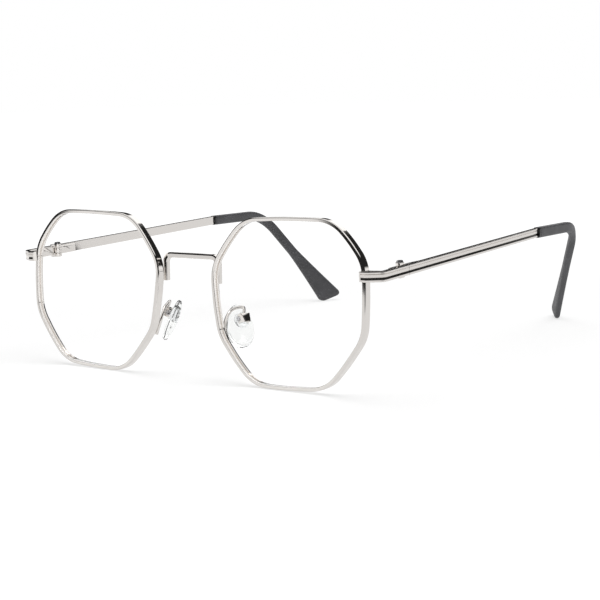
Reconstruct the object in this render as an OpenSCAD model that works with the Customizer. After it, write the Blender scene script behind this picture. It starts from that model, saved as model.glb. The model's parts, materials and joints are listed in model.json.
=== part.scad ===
// Metal-rimmed spectacles with soft octagonal rims, clear lenses and folding temples.
// Millimetres. +X is the wearer's left, the front faces -Y, the temples run towards +Y, +Z is up.
// The part stands as it is put down: on the two rim bottoms and the two temple tips, at z = 0.

/* [Lens opening] */
// Width of the opening inside each rim
opening_w = 49; // [46:0.5:52]
// Height of the opening inside each rim
opening_h = 45; // [43:0.5:48]
// Half length of the flat top side
top_half = 14.4; // [12:0.2:17]
// How much the top side rises from its nose end to its temple end
top_rise = 0.6; // [0:0.1:1.2]
// Bottom side, from the middle to its nose end
bottom_in = 10.9; // [9:0.1:13]
// Bottom side, from the middle to its temple end
bottom_out = 12.8; // [11:0.1:15]
// How much the bottom side rises towards the temple
bottom_rise = 0.9; // [0:0.1:1.4]
// Upper corner at the temple, above the middle
temple_high = 11.8; // [10:0.1:13]
// Lower corner at the temple, below the middle
temple_low = 7.4; // [6:0.1:9]
// Upper corner at the nose, above the middle
nose_high = 8.6; // [7:0.1:10]
// Lower corner at the nose, below the middle
nose_low = 9.8; // [8:0.1:11]
// How far the sharp upper nose corner would stand outside the opening
nose_out = 0.3; // [0:0.1:0.6]
// How far the lower nose corner lies inside the opening's width
nose_lean = 2.3; // [1.5:0.1:3]
// Radius that softens the eight corners
corner_r = 10.7; // [9:0.1:11]
// How far the middle of each side bows outwards
side_bow = 0.48; // [0.2:0.02:0.6]

/* [Rims and lenses] */
// Wall of the rim wire, seen from the front
rim_t = 1.05; // [0.95:0.05:1.4]
// Depth of the rim wire, front to back
rim_depth = 2.5; // [2.3:0.1:3]
// Radius of the lens front and of the rims' curve
base_r = 265; // [180:5:400]
// Depth of the groove in the rim that holds the lens
groove_depth = 0.5; // [0.4:0.05:0.6]
// Width of the groove
groove_w = 0.7; // [0.6:0.05:0.9]
// Thickness of the lens
lens_t = 1.6; // [1.4:0.1:1.9]
// Clearance between a lens and its rim
lens_gap = 0.05; // [0.02:0.01:0.1]
// Cut in the rim where the closing block opens it
rim_slit = 0.2; // [0.1:0.05:0.3]

/* [Front] */
// Gap between the two openings at the nose
nose_gap = 21.4; // [19:0.2:25]
// Turn of each lens about the upright axis, outer edge back
wrap = 1; // [0:0.5:4]
// Thickness of the square bridge wire
bridge_wire = 1.55; // [1.3:0.05:1.8]
// Height of the bridge's upper face above the lens middle
bridge_up = 12.1; // [10.5:0.1:13]
// Height of the ends of the bridge's legs above the lens middle
bridge_foot = 3.9; // [2.5:0.1:5.5]
// How far the bridge's legs reach behind the rims towards the lenses
bridge_lap = 0.75; // [0.5:0.05:0.9]
// Outer radius of the bridge's two bends
bridge_bend = 3; // [2.5:0.1:4]
// Gap left at brazed faces
braze_gap = 0.05; // [0.02:0.01:0.1]

/* [Endpieces and closing blocks] */
// Seam between endpiece and arm, behind the hinge axis
seam_back = 0.6; // [0:0.1:1]
// Gap between the endpiece's back and the rim's face, filled by the braze
end_gap = 0.22; // [0.2:0.02:0.3]
// Outer radius of the endpiece's bend into the arm
end_bend = 2.2; // [1.9:0.1:2.6]
// Flat length of the endpiece on the rim's face
end_flat = 1.2; // [1:0.1:1.5]
// Angle at which the endpiece sweeps back beside the rim
end_sweep = 28; // [15:1:30]
// Outer radius of the soft bend between the two
end_soft = 2; // [1.6:0.1:2.6]
// How far the endpiece reaches past the edge of the opening
end_tab = 0.4; // [0.2:0.05:0.5]
// Height of one half of a closing block
lock_h = 1.3; // [1.2:0.05:1.5]
// Width of a closing block, beside the rim
lock_w = 2.3; // [2.2:0.05:2.4]
// How far the closing block's front lies behind the rim's face
lock_inset = 0.1; // [0.1:0.1:0.4]
// Radius of the closing block's screw
lock_screw_r = 0.45; // [0.4:0.05:0.5]
// Closing screw's axis inside the block's outer face
lock_axis_in = 1.05; // [1:0.05:1.1]
// Radius of the head of the closing block's screw
lock_head_r = 0.75; // [0.7:0.05:0.8]
// Height of the head of the closing block's screw
lock_head_h = 0.5; // [0.4:0.05:0.6]

/* [Temple arms] */
// Height of the endpiece and arm strip
strip_h = 2.85; // [2.7:0.05:3.3]
// Thickness of the endpiece and arm strip
strip_t = 1.3; // [1.2:0.05:1.5]
// Bevel along the strip's lower outer edge
strip_edge = 0.22; // [0.1:0.02:0.26]
// Deepest line of the groove, below the strip's middle
groove_at = 0.3; // [0.2:0.01:0.35]
// Width of the slope that runs down into the groove from the lower rail
groove_slope = 0.85; // [0.6:0.05:0.9]
// Width of the steep side of the groove, under the upper rail
groove_lip = 0.09; // [0.06:0.01:0.12]
// Depth of the groove
reed_depth = 0.2; // [0.14:0.01:0.26]
// Height of the shoulder that slopes back to the strip's upper edge
shoulder_h = 0.75; // [0.5:0.05:0.8]
// How far the shoulder falls back at the upper edge
shoulder_fall = 0.16; // [0.1:0.02:0.24]
// Height of the fine line above the strip's middle
line_at = 0.45; // [0.3:0.05:0.6]
// Width and depth of the fine line
fine_line = 0.16; // [0.1:0.02:0.2]
// Hinge axis to the mouth of the tip
arm_length = 77; // [70:1:84]
// Length of the tang that runs on inside the tip
tang = 3; // [2:0.5:4]
// Height of the tang
tang_h = 2.2; // [1.6:0.1:2.4]
// Thickness of the tang
tang_t = 1; // [0.8:0.05:1.2]
// Angle at which the arms rise from a right angle to the front
arm_rise = 4.35; // [3:0.05:6]
// Angle at which each arm runs inwards
arm_inward = 1; // [0:0.5:3]

/* [Hinges] */
// Hinge axis beyond the temple edge of the opening
hinge_out = 3.5; // [3.4:0.1:4]
// Hinge axis behind the lens front
hinge_back = 14.2; // [13:0.1:15.5]
// Hinge middle above the lens middle
hinge_up = 9.75; // [9:0.05:10.5]
// Radius of the hinge barrels
barrel_r = 1.15; // [1.1:0.05:1.2]
// Height of the temple's barrel, the middle one
barrel_mid_h = 1.6; // [1.4:0.1:1.8]
// Height over all three barrels
barrel_h = 4; // [3.6:0.1:4.2]
// Gap between barrels, along the axis and beside the strip
barrel_gap = 0.05; // [0.03:0.01:0.1]
// Length of the front hinge plate
front_plate = 5.2; // [4.5:0.1:5.6]
// Length of the temple hinge plate
temple_plate = 6.7; // [5.5:0.1:9]
// Thickness of the hinge plates
plate_t = 0.8; // [0.7:0.05:0.9]
// Depth of the seat milled into the arm's inner face for its hinge plate
hinge_seat = 0.1; // [0.05:0.01:0.15]
// Height of the hinge plates
plate_h = 2.8; // [2.4:0.1:3.2]
// Radius of the hinge screw
screw_r = 0.65; // [0.6:0.05:0.7]
// Clearance of the hinge screw in the barrels that turn on it
screw_gap = 0.04; // [0.02:0.01:0.06]
// Radius of the hinge screw's head
screw_head_r = 1; // [0.9:0.05:1.1]
// Height of the hinge screw's head
screw_head_h = 0.5; // [0.4:0.05:0.6]

/* [Temple tips] */
// Centre-line radius of the bend over the ear
ear_bend_r = 13; // [9:0.5:15]
// Hinge axis to the corner of the ear bend
ear_at = 105; // [98:1:110]
// Angle of the bend over the ear
ear_angle = 61; // [54:0.5:66]
// Roll of the bend inwards, towards the head
ear_roll = 27; // [18:1:32]
// Angle at which the tip runs down from the arm
tip_dip = 2.5; // [0:0.5:4]
// Corner of the ear bend to the end of the tip
tip_drop = 41.6; // [38:1:48]
// Height of the tip at its mouth
tip_h = 3.3; // [3.1:0.1:3.8]
// Thickness of the tip at its mouth
tip_t = 2.3; // [2.1:0.1:2.8]
// Width of the paddle at its end
paddle_w = 8.4; // [7:0.2:10]
// Where the tip starts to widen, as a share of the drop behind the bend
paddle_from = 0.3; // [0.2:0.05:0.5]
// Turn of the drop about its own line, front edge outwards
paddle_twist = 15; // [0:1:25]
// Slant of the paddle's end, longer at its rear edge
paddle_slant = 20; // [0:1:30]
// Thickness of the paddle at its end
paddle_t = 2; // [1.9:0.1:2.5]
// Radius of the paddle's two end corners
paddle_r = 2; // [1.5:0.1:2.5]
// Radius of the wire core inside the tip
core_r = 0.7; // [0.6:0.05:0.75]
// Length of the wire core behind the bend
core_drop = 26; // [20:1:28]
// Further play of the core in the bend
bend_ease = 0.03; // [0.02:0.01:0.05]
// Clearance round the strip and the core in the tip
core_gap = 0.05; // [0.02:0.01:0.08]

/* [Nose pads] */
// Pad screw beyond the edge of the gap between the openings
pad_out = 3.2; // [2.7:0.1:3.6]
// Pad screw behind the lens front
pad_back = 10.1; // [9.5:0.1:11]
// Pad screw below the lens middle
pad_down = 6.2; // [5.6:0.1:7]
// Turn of the pads about the upright axis, back edges outwards
pad_splay = 29; // [20:1:33]
// Lean of the pads, tops inwards
pad_lean = 22; // [14:1:25]
// Width of a pad
pad_w = 8.4; // [7.4:0.1:8.8]
// Height of a pad
pad_h = 12.6; // [12:0.1:13.4]
// Thickness of a pad in its middle
pad_t = 2.3; // [2.2:0.1:2.8]
// How far the pad's middle hangs below its screw
pad_drop = 1.7; // [1:0.1:2.2]
// How far the pad's middle lies in front of its screw
pad_fore = 0.8; // [0:0.1:1.2]
// Radius of the crown on the pad's nose side
pad_crown = 15; // [13:0.5:18]
// Radius of the pad arm's wire
wire_r = 0.45; // [0.4:0.05:0.5]
// Height of the pad box
box_h = 2.6; // [2.4:0.1:2.8]
// Width of the pad box
box_w = 3; // [2.8:0.1:3.2]
// Depth of the pad box
box_d = 2.1; // [2:0.1:2.5]
// Wall of the pad box
box_wall = 0.5; // [0.45:0.05:0.6]
// Height of the pad's lug
lug_h = 1.5; // [1.4:0.05:1.6]
// Clearance of the pad's lug in its box
lug_gap = 0.1; // [0.05:0.01:0.15]
// Space behind the pad that lets it rock
rock_gap = 0.4; // [0.4:0.05:0.6]
// Radius of the pad screw
pad_screw_r = 0.45; // [0.4:0.05:0.5]
// Radius of the pad screw's head
pad_head_r = 0.8; // [0.7:0.05:0.9]
// Height of the pad screw's head
pad_head_h = 0.45; // [0.4:0.05:0.5]
// Radius of the disc moulded into the pad
insert_r = 2.2; // [2:0.1:2.4]
// Thickness of the disc moulded into the pad
insert_t = 0.6; // [0.5:0.05:0.7]
// Pad material over the back of that disc
insert_cover = 0.25; // [0.2:0.05:0.4]

/* [Hidden] */
$fn = 48;
nothing = 0.01;
// How far a straight run reaches into the piece it joins
run_in = 0.1;
// Widths and half depth of the screw slots
fine_slot = 0.22;
slot_w = 0.3;
slot_deep = 0.2;
// Free end of a screw in its blind bore
end_play = 0.1;
// Material over the closing block's blind bore
lock_cap = 0.3;
// How far the closing blocks start inside the rim that trims them
lock_start = 1.5;
// Room between a hinge plate and the barrels, and the web that bridges it
plate_clear = 0.15;
web = 0.6;
// Taper of the hinge screw's head
head_taper = 0.25;
// Length of the hinge seat behind the plate
seat_room = 0.1;
// How far the outline's cutting block stands behind and before the rims
block_behind = 6;
block_before = 2;
// Half width of the cut through the rim
slit_reach = 3;
// Pad screw that stands out of the box, opposite its head
screw_tail = 0.2;
// Clearance of the insert in the pad round it
insert_gap = 0.03;
// How much narrower the pad is at its top, as a share
pad_egg = 0.14;
// Pad wire from its foot on the rim, up and back, as offsets from the foot
wire_offsets = [[0.9, 0, -2.2], [0, 0, 0], [-0.7, 0.5, 2.8], [-0.5, 2, 5.4], [-0.2, 3.8, 6.5]];
// Straight end of the pad wire above its box
wire_rise = 1.7;
// Chamfer of the bridge wire
bridge_edge = 0.3;
silver = "#c9c8c5";
steel = "#a9a9a8";
clear_lens = [0.9, 0.93, 0.94, 0.25];
clear_pad = [0.93, 0.94, 0.94, 0.5];
charcoal = "#4b4b4d";

// Small vector helpers
function unit(v) = v / norm(v);
function about_x(p, a) = [p[0], p[1] * cos(a) - p[2] * sin(a), p[1] * sin(a) + p[2] * cos(a)];
function about_y(p, a) = [p[0] * cos(a) + p[2] * sin(a), p[1], p[2] * cos(a) - p[0] * sin(a)];
function about_z(p, a) = [p[0] * cos(a) - p[1] * sin(a), p[0] * sin(a) + p[1] * cos(a), p[2]];
// How far the lens sphere falls back at a distance from the lens middle
function sag(d) = base_r - sqrt(base_r * base_r - d * d);

// The eight sharp corners, anticlockwise from the upper temple corner, x towards the temple
side_x = opening_w / 2 - side_bow;
top_y = opening_h / 2 - side_bow;
corners = [
    [side_x, temple_high], [top_half, top_y + top_rise / 2],
    [-top_half, top_y - top_rise / 2], [-opening_w / 2 - nose_out, nose_high],
    [-opening_w / 2 + nose_lean, -nose_low], [-bottom_in, -top_y - bottom_rise / 2],
    [bottom_out, -top_y + bottom_rise / 2], [side_x, -temple_low]
];
corner_steps = 6;
bow_steps = 3;
bow_share = 0.8;
function side_mid(i) =
    let (a = corners[i], b = corners[(i + 1) % 8], d = unit(b - a))
    (a + b) / 2 + side_bow * [d[1], -d[0]];
// Corners and the bowed middles of the sides, in turn
knots = [for (i = [0 : 7]) each [corners[i], side_mid(i)]];
function to_next(i) = knots[(i + 1) % 16] - knots[i % 16];
function half_angle(i) = acos(-unit(to_next(i + 15)) * unit(to_next(i))) / 2;
// Straight length that a corner's arc takes from its two sides
function corner_reach(i) = corner_r / tan(half_angle(i));
function free_side(i) = min(norm(to_next(i + 15)) - corner_reach(i + 15), norm(to_next(i)) - corner_reach(i + 1));
// An arc of the given growth at knot i: corners take corner_r, the middles a flat arc on the free side
function arc_points(i, grow) =
    let (p = knots[i],
         a = -to_next(i + 15),
         b = to_next(i),
         half = half_angle(i),
         r = i % 2 == 0 ? corner_r : bow_share * free_side(i) * tan(half),
         steps = i % 2 == 0 ? corner_steps : bow_steps,
         c = p + unit(unit(a) + unit(b)) * r / sin(half),
         s = p + unit(a) * r / tan(half) - c,
         start = atan2(s[1], s[0]),
         turn = 180 - 2 * half)
    [for (k = [0 : steps]) c + (r + grow) * [cos(start + turn * k / steps), sin(start + turn * k / steps)]];
function outline(grow) = [for (i = [0 : 15]) each arc_points(i, grow)];

// Front frame: origin midway between the lens middles, on the lens fronts
lens_x = (opening_w + nose_gap) / 2;
// Front face of the rim at the temple and the nose side, behind the lens front
rim_temple_y = sag(norm([opening_w / 2, hinge_up])) + opening_w / 2 * sin(wrap);
rim_nose_y = sag(norm([opening_w / 2 + rim_t, bridge_up - bridge_bend / 2])) - opening_w / 2 * sin(wrap);
lens_front = (rim_depth - lens_t) / 2;

// Temple frame: origin on the hinge axis at the strip's middle, x outwards, y along the arm
hinge_pos = [lens_x + opening_w / 2 + hinge_out, hinge_back, hinge_up];
strip_in = barrel_r + barrel_gap;
strip_mid = strip_in + strip_t / 2;
function temple_to_front(p) = hinge_pos + about_x(about_z(p, arm_inward), arm_rise);
// Distance from the hinge axis forwards to the endpiece's front face
end_reach = (hinge_back - rim_temple_y + end_gap) / cos(arm_rise) + strip_t;
// Inner end of the endpiece's grooved part, over the rim's inner edge
end_inner = -hinge_out;
lock_up = hinge_up - (end_reach - strip_t) * sin(arm_rise);

// Tip frame: at the tip's mouth on the strip's middle, dipped from the arm
// and rolled so that the ear bend lies in its yz plane
bend_tan = ear_bend_r * tan(ear_angle / 2);
bend_y = ear_at - arm_length - bend_tan;
bend_len = ear_bend_r * ear_angle * PI / 180;
bend_end = [0, bend_y + ear_bend_r * sin(ear_angle), ear_bend_r * (cos(ear_angle) - 1)];
drop_dir = [0, cos(ear_angle), -sin(ear_angle)];
drop_len = tip_drop - bend_tan;
mouth = [strip_mid, arm_length, 0];
function tip_to_front(p) = temple_to_front(mouth + about_x(about_y(p, ear_roll), -tip_dip));
// Point and tangent angle at a length s along the tip, counted from its mouth
function tip_angle(s) = ear_angle * min(1, max(0, s - bend_y) / bend_len);
function tip_point(s) =
    s < bend_y ? [0, s, 0]
    : s < bend_y + bend_len
        ? [0, bend_y + ear_bend_r * sin(tip_angle(s)), ear_bend_r * (cos(tip_angle(s)) - 1)]
        : bend_end + drop_dir * (s - bend_y - bend_len);
tip_len = bend_y + bend_len + drop_len;
// Share of the drop that lies before a point, 0 at the bend and 1 at the end
function drop_share(s) = max(0, (s - bend_y - bend_len) / drop_len);
function flare(s) = max(0, drop_share(s) - paddle_from) / (1 - paddle_from);
// The end corners round off over the last paddle_r
function end_round(s) = s < tip_len - paddle_r ? 0 : paddle_r - sqrt(max(0, paddle_r * paddle_r - pow(s - tip_len + paddle_r, 2)));
function tip_half_w(s) = tip_h / 2 + (paddle_w - tip_h) / 2 * pow(flare(s), flare_power) - end_round(s);
function tip_half_t(s) = (tip_t + (paddle_t - tip_t) * drop_share(s)) / 2 - end_thin * end_round(s);
section_sides = 16;
section_power = 0.55;
flare_power = 1.2;
end_thin = 0.35;
// Rounded-box section: cosine and sine drawn out towards the corners
function drawn(c) = sign(c) * pow(abs(c), section_power);
function tip_section(s) =
    let (a = tip_angle(s),
         up = [0, sin(a), cos(a)],
         out = [1, 0, 0],
         turn = ear_roll + paddle_twist * a / ear_angle,
         wide = cos(turn) * up - sin(turn) * out + tan(paddle_slant) * flare(s) * [0, cos(a), -sin(a)],
         thin = sin(turn) * up + cos(turn) * out)
    [for (k = [0 : section_sides - 1])
        tip_point(s) + wide * tip_half_w(s) * drawn(cos(360 * (k + 0.5) / section_sides))
            + thin * tip_half_t(s) * drawn(sin(360 * (k + 0.5) / section_sides))];
tip_stations = concat(
    [0, bend_y / 2],
    [for (i = [0 : 7]) bend_y + bend_len * i / 7],
    [for (i = [1 : 8]) bend_y + bend_len + (drop_len - paddle_r) * i / 8],
    [for (i = [1 : 4]) tip_len - paddle_r + paddle_r * sin(i * 21.5)]
);

// How the finished part stands: turned about x until rims and tips share the floor
rim_low = [0, sag(opening_h / 2 + rim_t) + rim_depth, -opening_h / 2 - rim_t];
tip_low_points = [for (s = tip_stations) each [for (p = tip_section(s)) tip_to_front(p)]];
function lowest(points, a) = min([for (p = points) about_x(p, a)[2]]);
stand_reach = hinge_back + arm_length + tip_drop;
function settle(a) = a + (about_x(rim_low, a)[2] - lowest(tip_low_points, a)) / stand_reach * 180 / PI;
stand_tilt = settle(settle(settle(settle(settle(0)))));
lift = -about_x(rim_low, stand_tilt)[2];
rim_front_y = about_x([0, sag(opening_h / 2 + rim_t), -opening_h / 2 - rim_t], stand_tilt)[1];
tip_back_y = max([for (p = tip_low_points) about_x(p, stand_tilt)[1]]);
mid_y = (rim_front_y + tip_back_y) / 2;

// Pad frame: origin on the pad screw, x outwards through the box, y along the screw, z up the pad
pad_pos = [nose_gap / 2 + pad_out, pad_back, -pad_down];
function pad_to_front(p) = pad_pos + about_z(about_y(p, -pad_lean), -pad_splay);
lug_w = box_w - 2 * box_wall - 2 * lug_gap;
slot_back = lug_h / 2 + lug_gap;
box_front = box_d - slot_back - box_wall;
pad_face = -box_front - rock_gap;
insert_back = pad_face - insert_cover;

// Places
module stand() {
    translate([0, -mid_y, lift])
        rotate([stand_tilt, 0, 0])
            children();
}
module both(side) {
    stand()
        mirror([side < 0 ? 1 : 0, 0, 0])
            children();
}
// Lens frame: x towards the temple, y up, z out of the front
module on_lens(side) {
    both(side)
        translate([lens_x, 0, 0])
            rotate([0, 0, wrap])
                rotate([90, 0, 0])
                    children();
}
module on_temple(side) {
    both(side)
        translate(hinge_pos)
            rotate([arm_rise, 0, 0])
                rotate([0, 0, arm_inward])
                    children();
}
module on_tip(side) {
    on_temple(side)
        translate(mouth)
            rotate([-tip_dip, 0, 0])
                rotate([0, ear_roll, 0])
                    children();
}
module on_pad(side) {
    both(side)
        translate(pad_pos)
            rotate([0, 0, -pad_splay])
                rotate([0, -pad_lean, 0])
                    children();
}

// Solids that repeat
// Ball whose front passes a given depth behind the lens front
module lens_ball(depth) {
    translate([0, 0, -base_r])
        rotate([90, 0, 0])
            sphere(r = base_r - depth, $fn = 240);
}
// The outline as a block that holds all of the curved rim
module outline_block(grow) {
    translate([0, 0, -rim_depth - block_behind])
        linear_extrude(height = block_behind + rim_depth + block_before)
            polygon(outline(grow));
}
// Curved plate of the outline, between two depths behind the lens front
module curved_plate(grow, near, far) {
    intersection() {
        outline_block(grow);
        difference() {
            lens_ball(near);
            lens_ball(far);
        }
    }
}
// Closed mesh through rings of points
module skin(rings) {
    n = len(rings[0]);
    m = len(rings);
    polyhedron(
        points = [for (ring = rings) each ring],
        faces = concat(
            [[for (k = [0 : n - 1]) k]],
            [for (j = [0 : m - 2]) for (k = [0 : n - 1]) each [
                [j * n + k, (j + 1) * n + k, (j + 1) * n + (k + 1) % n],
                [j * n + k, (j + 1) * n + (k + 1) % n, j * n + (k + 1) % n]
            ]],
            [[for (k = [0 : n - 1]) (m - 1) * n + n - 1 - k]]
        ),
        convexity = 6
    );
}
// Three points of a groove in the strip's outer face, deepest at a height, with a width on each side of it
function notch(at, below, above, depth) = [[strip_t, at - below], [strip_t - depth, at], [strip_t, at + above]];
// Points of the strip's section: x from its inner face outwards, y across its height
function strip_section() =
    let (h = strip_h / 2, t = strip_t, e = strip_edge)
    concat(
        [[0, -h], [t - e, -h], [t, -h + e]],
        notch(-groove_at, groove_slope, groove_lip, reed_depth),
        notch(line_at, fine_line / 2, fine_line / 2, fine_line),
        [[t, h - shoulder_h], [t - shoulder_fall, h], [0, h]]
    );
// Straight piece of strip along +y from one place to another
module strip_run(from, to) {
    translate([strip_in, to, 0])
        rotate([90, 0, 0])
            linear_extrude(height = to - from)
                polygon(strip_section());
}

// Rims: a grooved wire bent round the lens and cut at the temple side
module rim(side) {
    color(silver)
        on_lens(side)
            difference() {
                curved_plate(rim_t, 0, rim_depth);
                outline_block(0);
                curved_plate(groove_depth, (rim_depth - groove_w) / 2, (rim_depth + groove_w) / 2);
                translate([opening_w / 2 - slit_reach, lock_up - rim_slit / 2, -rim_depth - block_behind])
                    cube([2 * slit_reach, rim_slit, block_behind + rim_depth]);
            }
}
// Lenses: a curved clear plate with a tongue round its edge
module lens(side) {
    color(clear_lens)
        on_lens(side)
            union() {
                curved_plate(-lens_gap, lens_front, lens_front + lens_t);
                curved_plate(
                    groove_depth - lens_gap,
                    (rim_depth - groove_w) / 2 + lens_gap,
                    (rim_depth + groove_w) / 2 - lens_gap
                );
            }
}
// Bridge: one square wire bent into a staple, brazed behind both rims
bridge_half = nose_gap / 2 - rim_t + bridge_lap;
bridge_y = rim_nose_y + rim_depth + braze_gap;
function soft_square(a, e) = [
    [-a, -a + e], [-a + e, -a], [a - e, -a], [a, -a + e],
    [a, a - e], [a - e, a], [-a + e, a], [-a, a - e]
];
module bridge_section() {
    polygon(soft_square(bridge_wire / 2, bridge_edge));
}
module bridge() {
    bend = bridge_bend - bridge_wire / 2;
    bar = bridge_half - bridge_bend;
    color(silver)
        stand()
            translate([0, bridge_y + bridge_wire / 2, bridge_up - bridge_wire / 2]) {
                translate([-bar, 0, 0])
                    rotate([90, 0, 90])
                        linear_extrude(height = 2 * bar)
                            bridge_section();
                for (side = [-1, 1])
                    mirror([side < 0 ? 1 : 0, 0, 0]) {
                        translate([bar, 0, -bend])
                            rotate([90, 0, 0])
                                rotate_extrude(angle = 90)
                                    translate([bend, 0])
                                        bridge_section();
                        translate([bar + bend, 0, bridge_foot - bridge_up + bridge_wire / 2])
                            linear_extrude(height = bridge_up - bridge_wire / 2 - bridge_foot - bend)
                                bridge_section();
                    }
            }
}
// Endpieces: the grooved strip bent from the rim's face back to the hinge
soft_x = end_inner + end_flat;
swept_len = (strip_in + strip_t - soft_x - end_soft * sin(end_sweep) - end_bend * (1 - sin(end_sweep)))
    / cos(end_sweep);
bend_x = strip_in + strip_t - end_bend;
bend_in = end_soft * (1 - cos(end_sweep)) + swept_len * sin(end_sweep) + end_bend * cos(end_sweep) - end_reach;
soft_steps = 6;
end_steps = 10;
// Section of the strip where it turns round a centre, at a heading from the rim outwards
function strip_ring(centre, radius, heading) =
    let (section = strip_section(), out = [sin(heading), -cos(heading), 0])
    [for (i = [len(section) - 1 : -1 : 0])
        [centre[0], centre[1], section[i][1]] + (radius - strip_t + section[i][0]) * out];
endpiece_rings = concat(
    [strip_ring([end_inner - end_tab, end_soft - end_reach], end_soft, 0)],
    [for (i = [0 : soft_steps]) strip_ring([soft_x, end_soft - end_reach], end_soft, end_sweep * i / soft_steps)],
    [for (i = [0 : end_steps])
        strip_ring([bend_x, bend_in], end_bend, end_sweep + (90 - end_sweep) * i / end_steps)],
    [strip_ring([bend_x, seam_back - barrel_gap], end_bend, 90)]
);
// Room for the endpiece, which the closing blocks keep clear of
module endpiece_room() {
    translate([soft_x, end_soft - end_reach, -strip_h])
        rotate([0, 0, end_sweep])
            translate([0, strip_t + braze_gap - end_soft - end_reach, 0])
                cube([end_reach, end_reach, 2 * strip_h]);
}
module endpiece(side) {
    color(silver)
        on_temple(side)
            skin(endpiece_rings);
}
// Closing blocks: two halves beside the rim's cut, drawn together by a screw
lock_x = opening_w / 2 + rim_t - lock_start;
lock_out = opening_w / 2 + rim_t + lock_w;
lock_far = sag(norm([lock_out, lock_up])) + rim_depth;
lock_near = sag(norm([lock_x, lock_up])) + lock_inset;
lock_axis_x = lock_out - lock_axis_in;
lock_axis_z = -(lock_near + lock_far) / 2;
lock_low = lock_up - rim_slit / 2 - lock_h;
lock_top = lock_up + rim_slit / 2 + lock_h - lock_cap;
module lock_block(low) {
    difference() {
        translate([lock_x, low, -lock_far])
            cube([lock_out - lock_x, lock_h, lock_far - lock_near]);
        outline_block(rim_t + braze_gap);
    }
}
module lock_bore(r, low, high) {
    translate([lock_axis_x, low, lock_axis_z])
        rotate([-90, 0, 0])
            cylinder(r = r, h = high - low);
}
module lock_upper(side) {
    color(silver)
        difference() {
            on_lens(side)
                lock_block(lock_up + rim_slit / 2);
            on_lens(side)
                lock_bore(lock_screw_r + screw_gap, lock_low, lock_top);
            on_temple(side)
                endpiece_room();
        }
}
module lock_lower(side) {
    color(silver)
        difference() {
            on_lens(side)
                lock_block(lock_low);
            on_lens(side)
                lock_bore(lock_screw_r + screw_gap, lock_low - lock_h, lock_top);
            on_lens(side)
                lock_bore(lock_head_r + screw_gap, lock_low - lock_h, lock_low + lock_head_h);
            on_temple(side)
                endpiece_room();
        }
}
module lock_screw(side) {
    color(steel)
        on_lens(side)
            difference() {
                union() {
                    lock_bore(lock_screw_r, lock_low + lock_head_h - nothing, lock_top - end_play);
                    lock_bore(lock_head_r, lock_low, lock_low + lock_head_h);
                }
                translate([lock_axis_x, lock_low, lock_axis_z])
                    cube([3 * lock_head_r, 2 * slot_deep, fine_slot], center = true);
            }
}
// Hinge leaves: a plate brazed inside the strip, with barrels about the axis
module barrel(low, high) {
    translate([0, 0, low])
        cylinder(r = barrel_r, h = high - low);
}
module screw_bore(r, low, high) {
    translate([0, 0, low])
        cylinder(r = r, h = high - low);
}
module front_hinge(side) {
    color(silver)
        on_temple(side)
            difference() {
                union() {
                    translate([strip_in - plate_t, -barrel_r - plate_clear - front_plate, -plate_h / 2])
                        cube([plate_t, front_plate, plate_h]);
                    for (z = [-barrel_h / 2, barrel_mid_h / 2 + barrel_gap]) {
                        top = z + (barrel_h - barrel_mid_h) / 2 - barrel_gap;
                        barrel(z, top);
                        translate([0, -barrel_r - plate_clear - web, z])
                            cube([barrel_r, barrel_r + plate_clear + web, top - z]);
                    }
                }
                screw_bore(screw_r + screw_gap, -barrel_h, barrel_h);
            }
}
module temple_hinge(side) {
    color(silver)
        on_temple(side)
            difference() {
                union() {
                    translate([strip_in - plate_t, barrel_r + plate_clear, -plate_h / 2])
                        cube([plate_t + hinge_seat, temple_plate, plate_h]);
                    barrel(-barrel_mid_h / 2, barrel_mid_h / 2);
                    translate([0, 0, -barrel_mid_h / 2])
                        cube([barrel_r, barrel_r + plate_clear + web, barrel_mid_h]);
                }
                screw_bore(screw_r + screw_gap, -barrel_h, barrel_h);
            }
}
module hinge_screw(side) {
    color(steel)
        on_temple(side)
            difference() {
                union() {
                    screw_bore(screw_r, -barrel_h / 2, barrel_h / 2 + nothing);
                    translate([0, 0, barrel_h / 2])
                        cylinder(r1 = screw_head_r, r2 = screw_head_r - head_taper, h = screw_head_h);
                }
                translate([0, 0, barrel_h / 2 + screw_head_h])
                    cube([slot_w, 3 * screw_head_r, 2 * slot_deep], center = true);
            }
}
// Temple arms: the grooved strip from the hinge, with a tang that runs into the tip
// Room for the strip's end, square to the arm
module strip_end() {
    translate([strip_in - strip_t, arm_length - strip_h, -strip_h])
        cube([3 * strip_t, strip_h + core_gap, 2 * strip_h]);
}
module tang_block(grow) {
    translate([strip_mid - tang_t / 2 - grow, arm_length - tang, -tang_h / 2 - grow])
        cube([tang_t + 2 * grow, 2 * tang + grow, tang_h + 2 * grow]);
}
module temple_arm(side) {
    color(silver)
        on_temple(side) {
            difference() {
                strip_run(seam_back + barrel_gap, arm_length);
                translate([strip_in - hinge_seat, 0, -strip_h])
                    cube([2 * hinge_seat, barrel_r + plate_clear + temple_plate + seat_room, 2 * strip_h]);
            }
            tang_block(0);
        }
}
// Wire path from the strip's end round the ear bend, which may have its own radius
core_from = tang + core_gap;
module core_path(r, bend_r, drop) {
    translate([0, core_from, 0])
        rotate([-90, 0, 0])
            cylinder(r = r, h = bend_y - core_from + run_in, $fn = 24);
    translate([0, bend_y, -ear_bend_r])
        rotate([0, -90, 0])
            rotate_extrude(angle = ear_angle)
                translate([ear_bend_r, 0])
                    circle(r = bend_r, $fn = 24);
    translate(bend_end - run_in * drop_dir)
        rotate([-90 - ear_angle, 0, 0])
            cylinder(r = r, h = drop + run_in, $fn = 24);
}
module core_wire(side) {
    color(steel)
        on_tip(side)
            core_path(core_r, core_r - bend_ease, core_drop);
}
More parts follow.
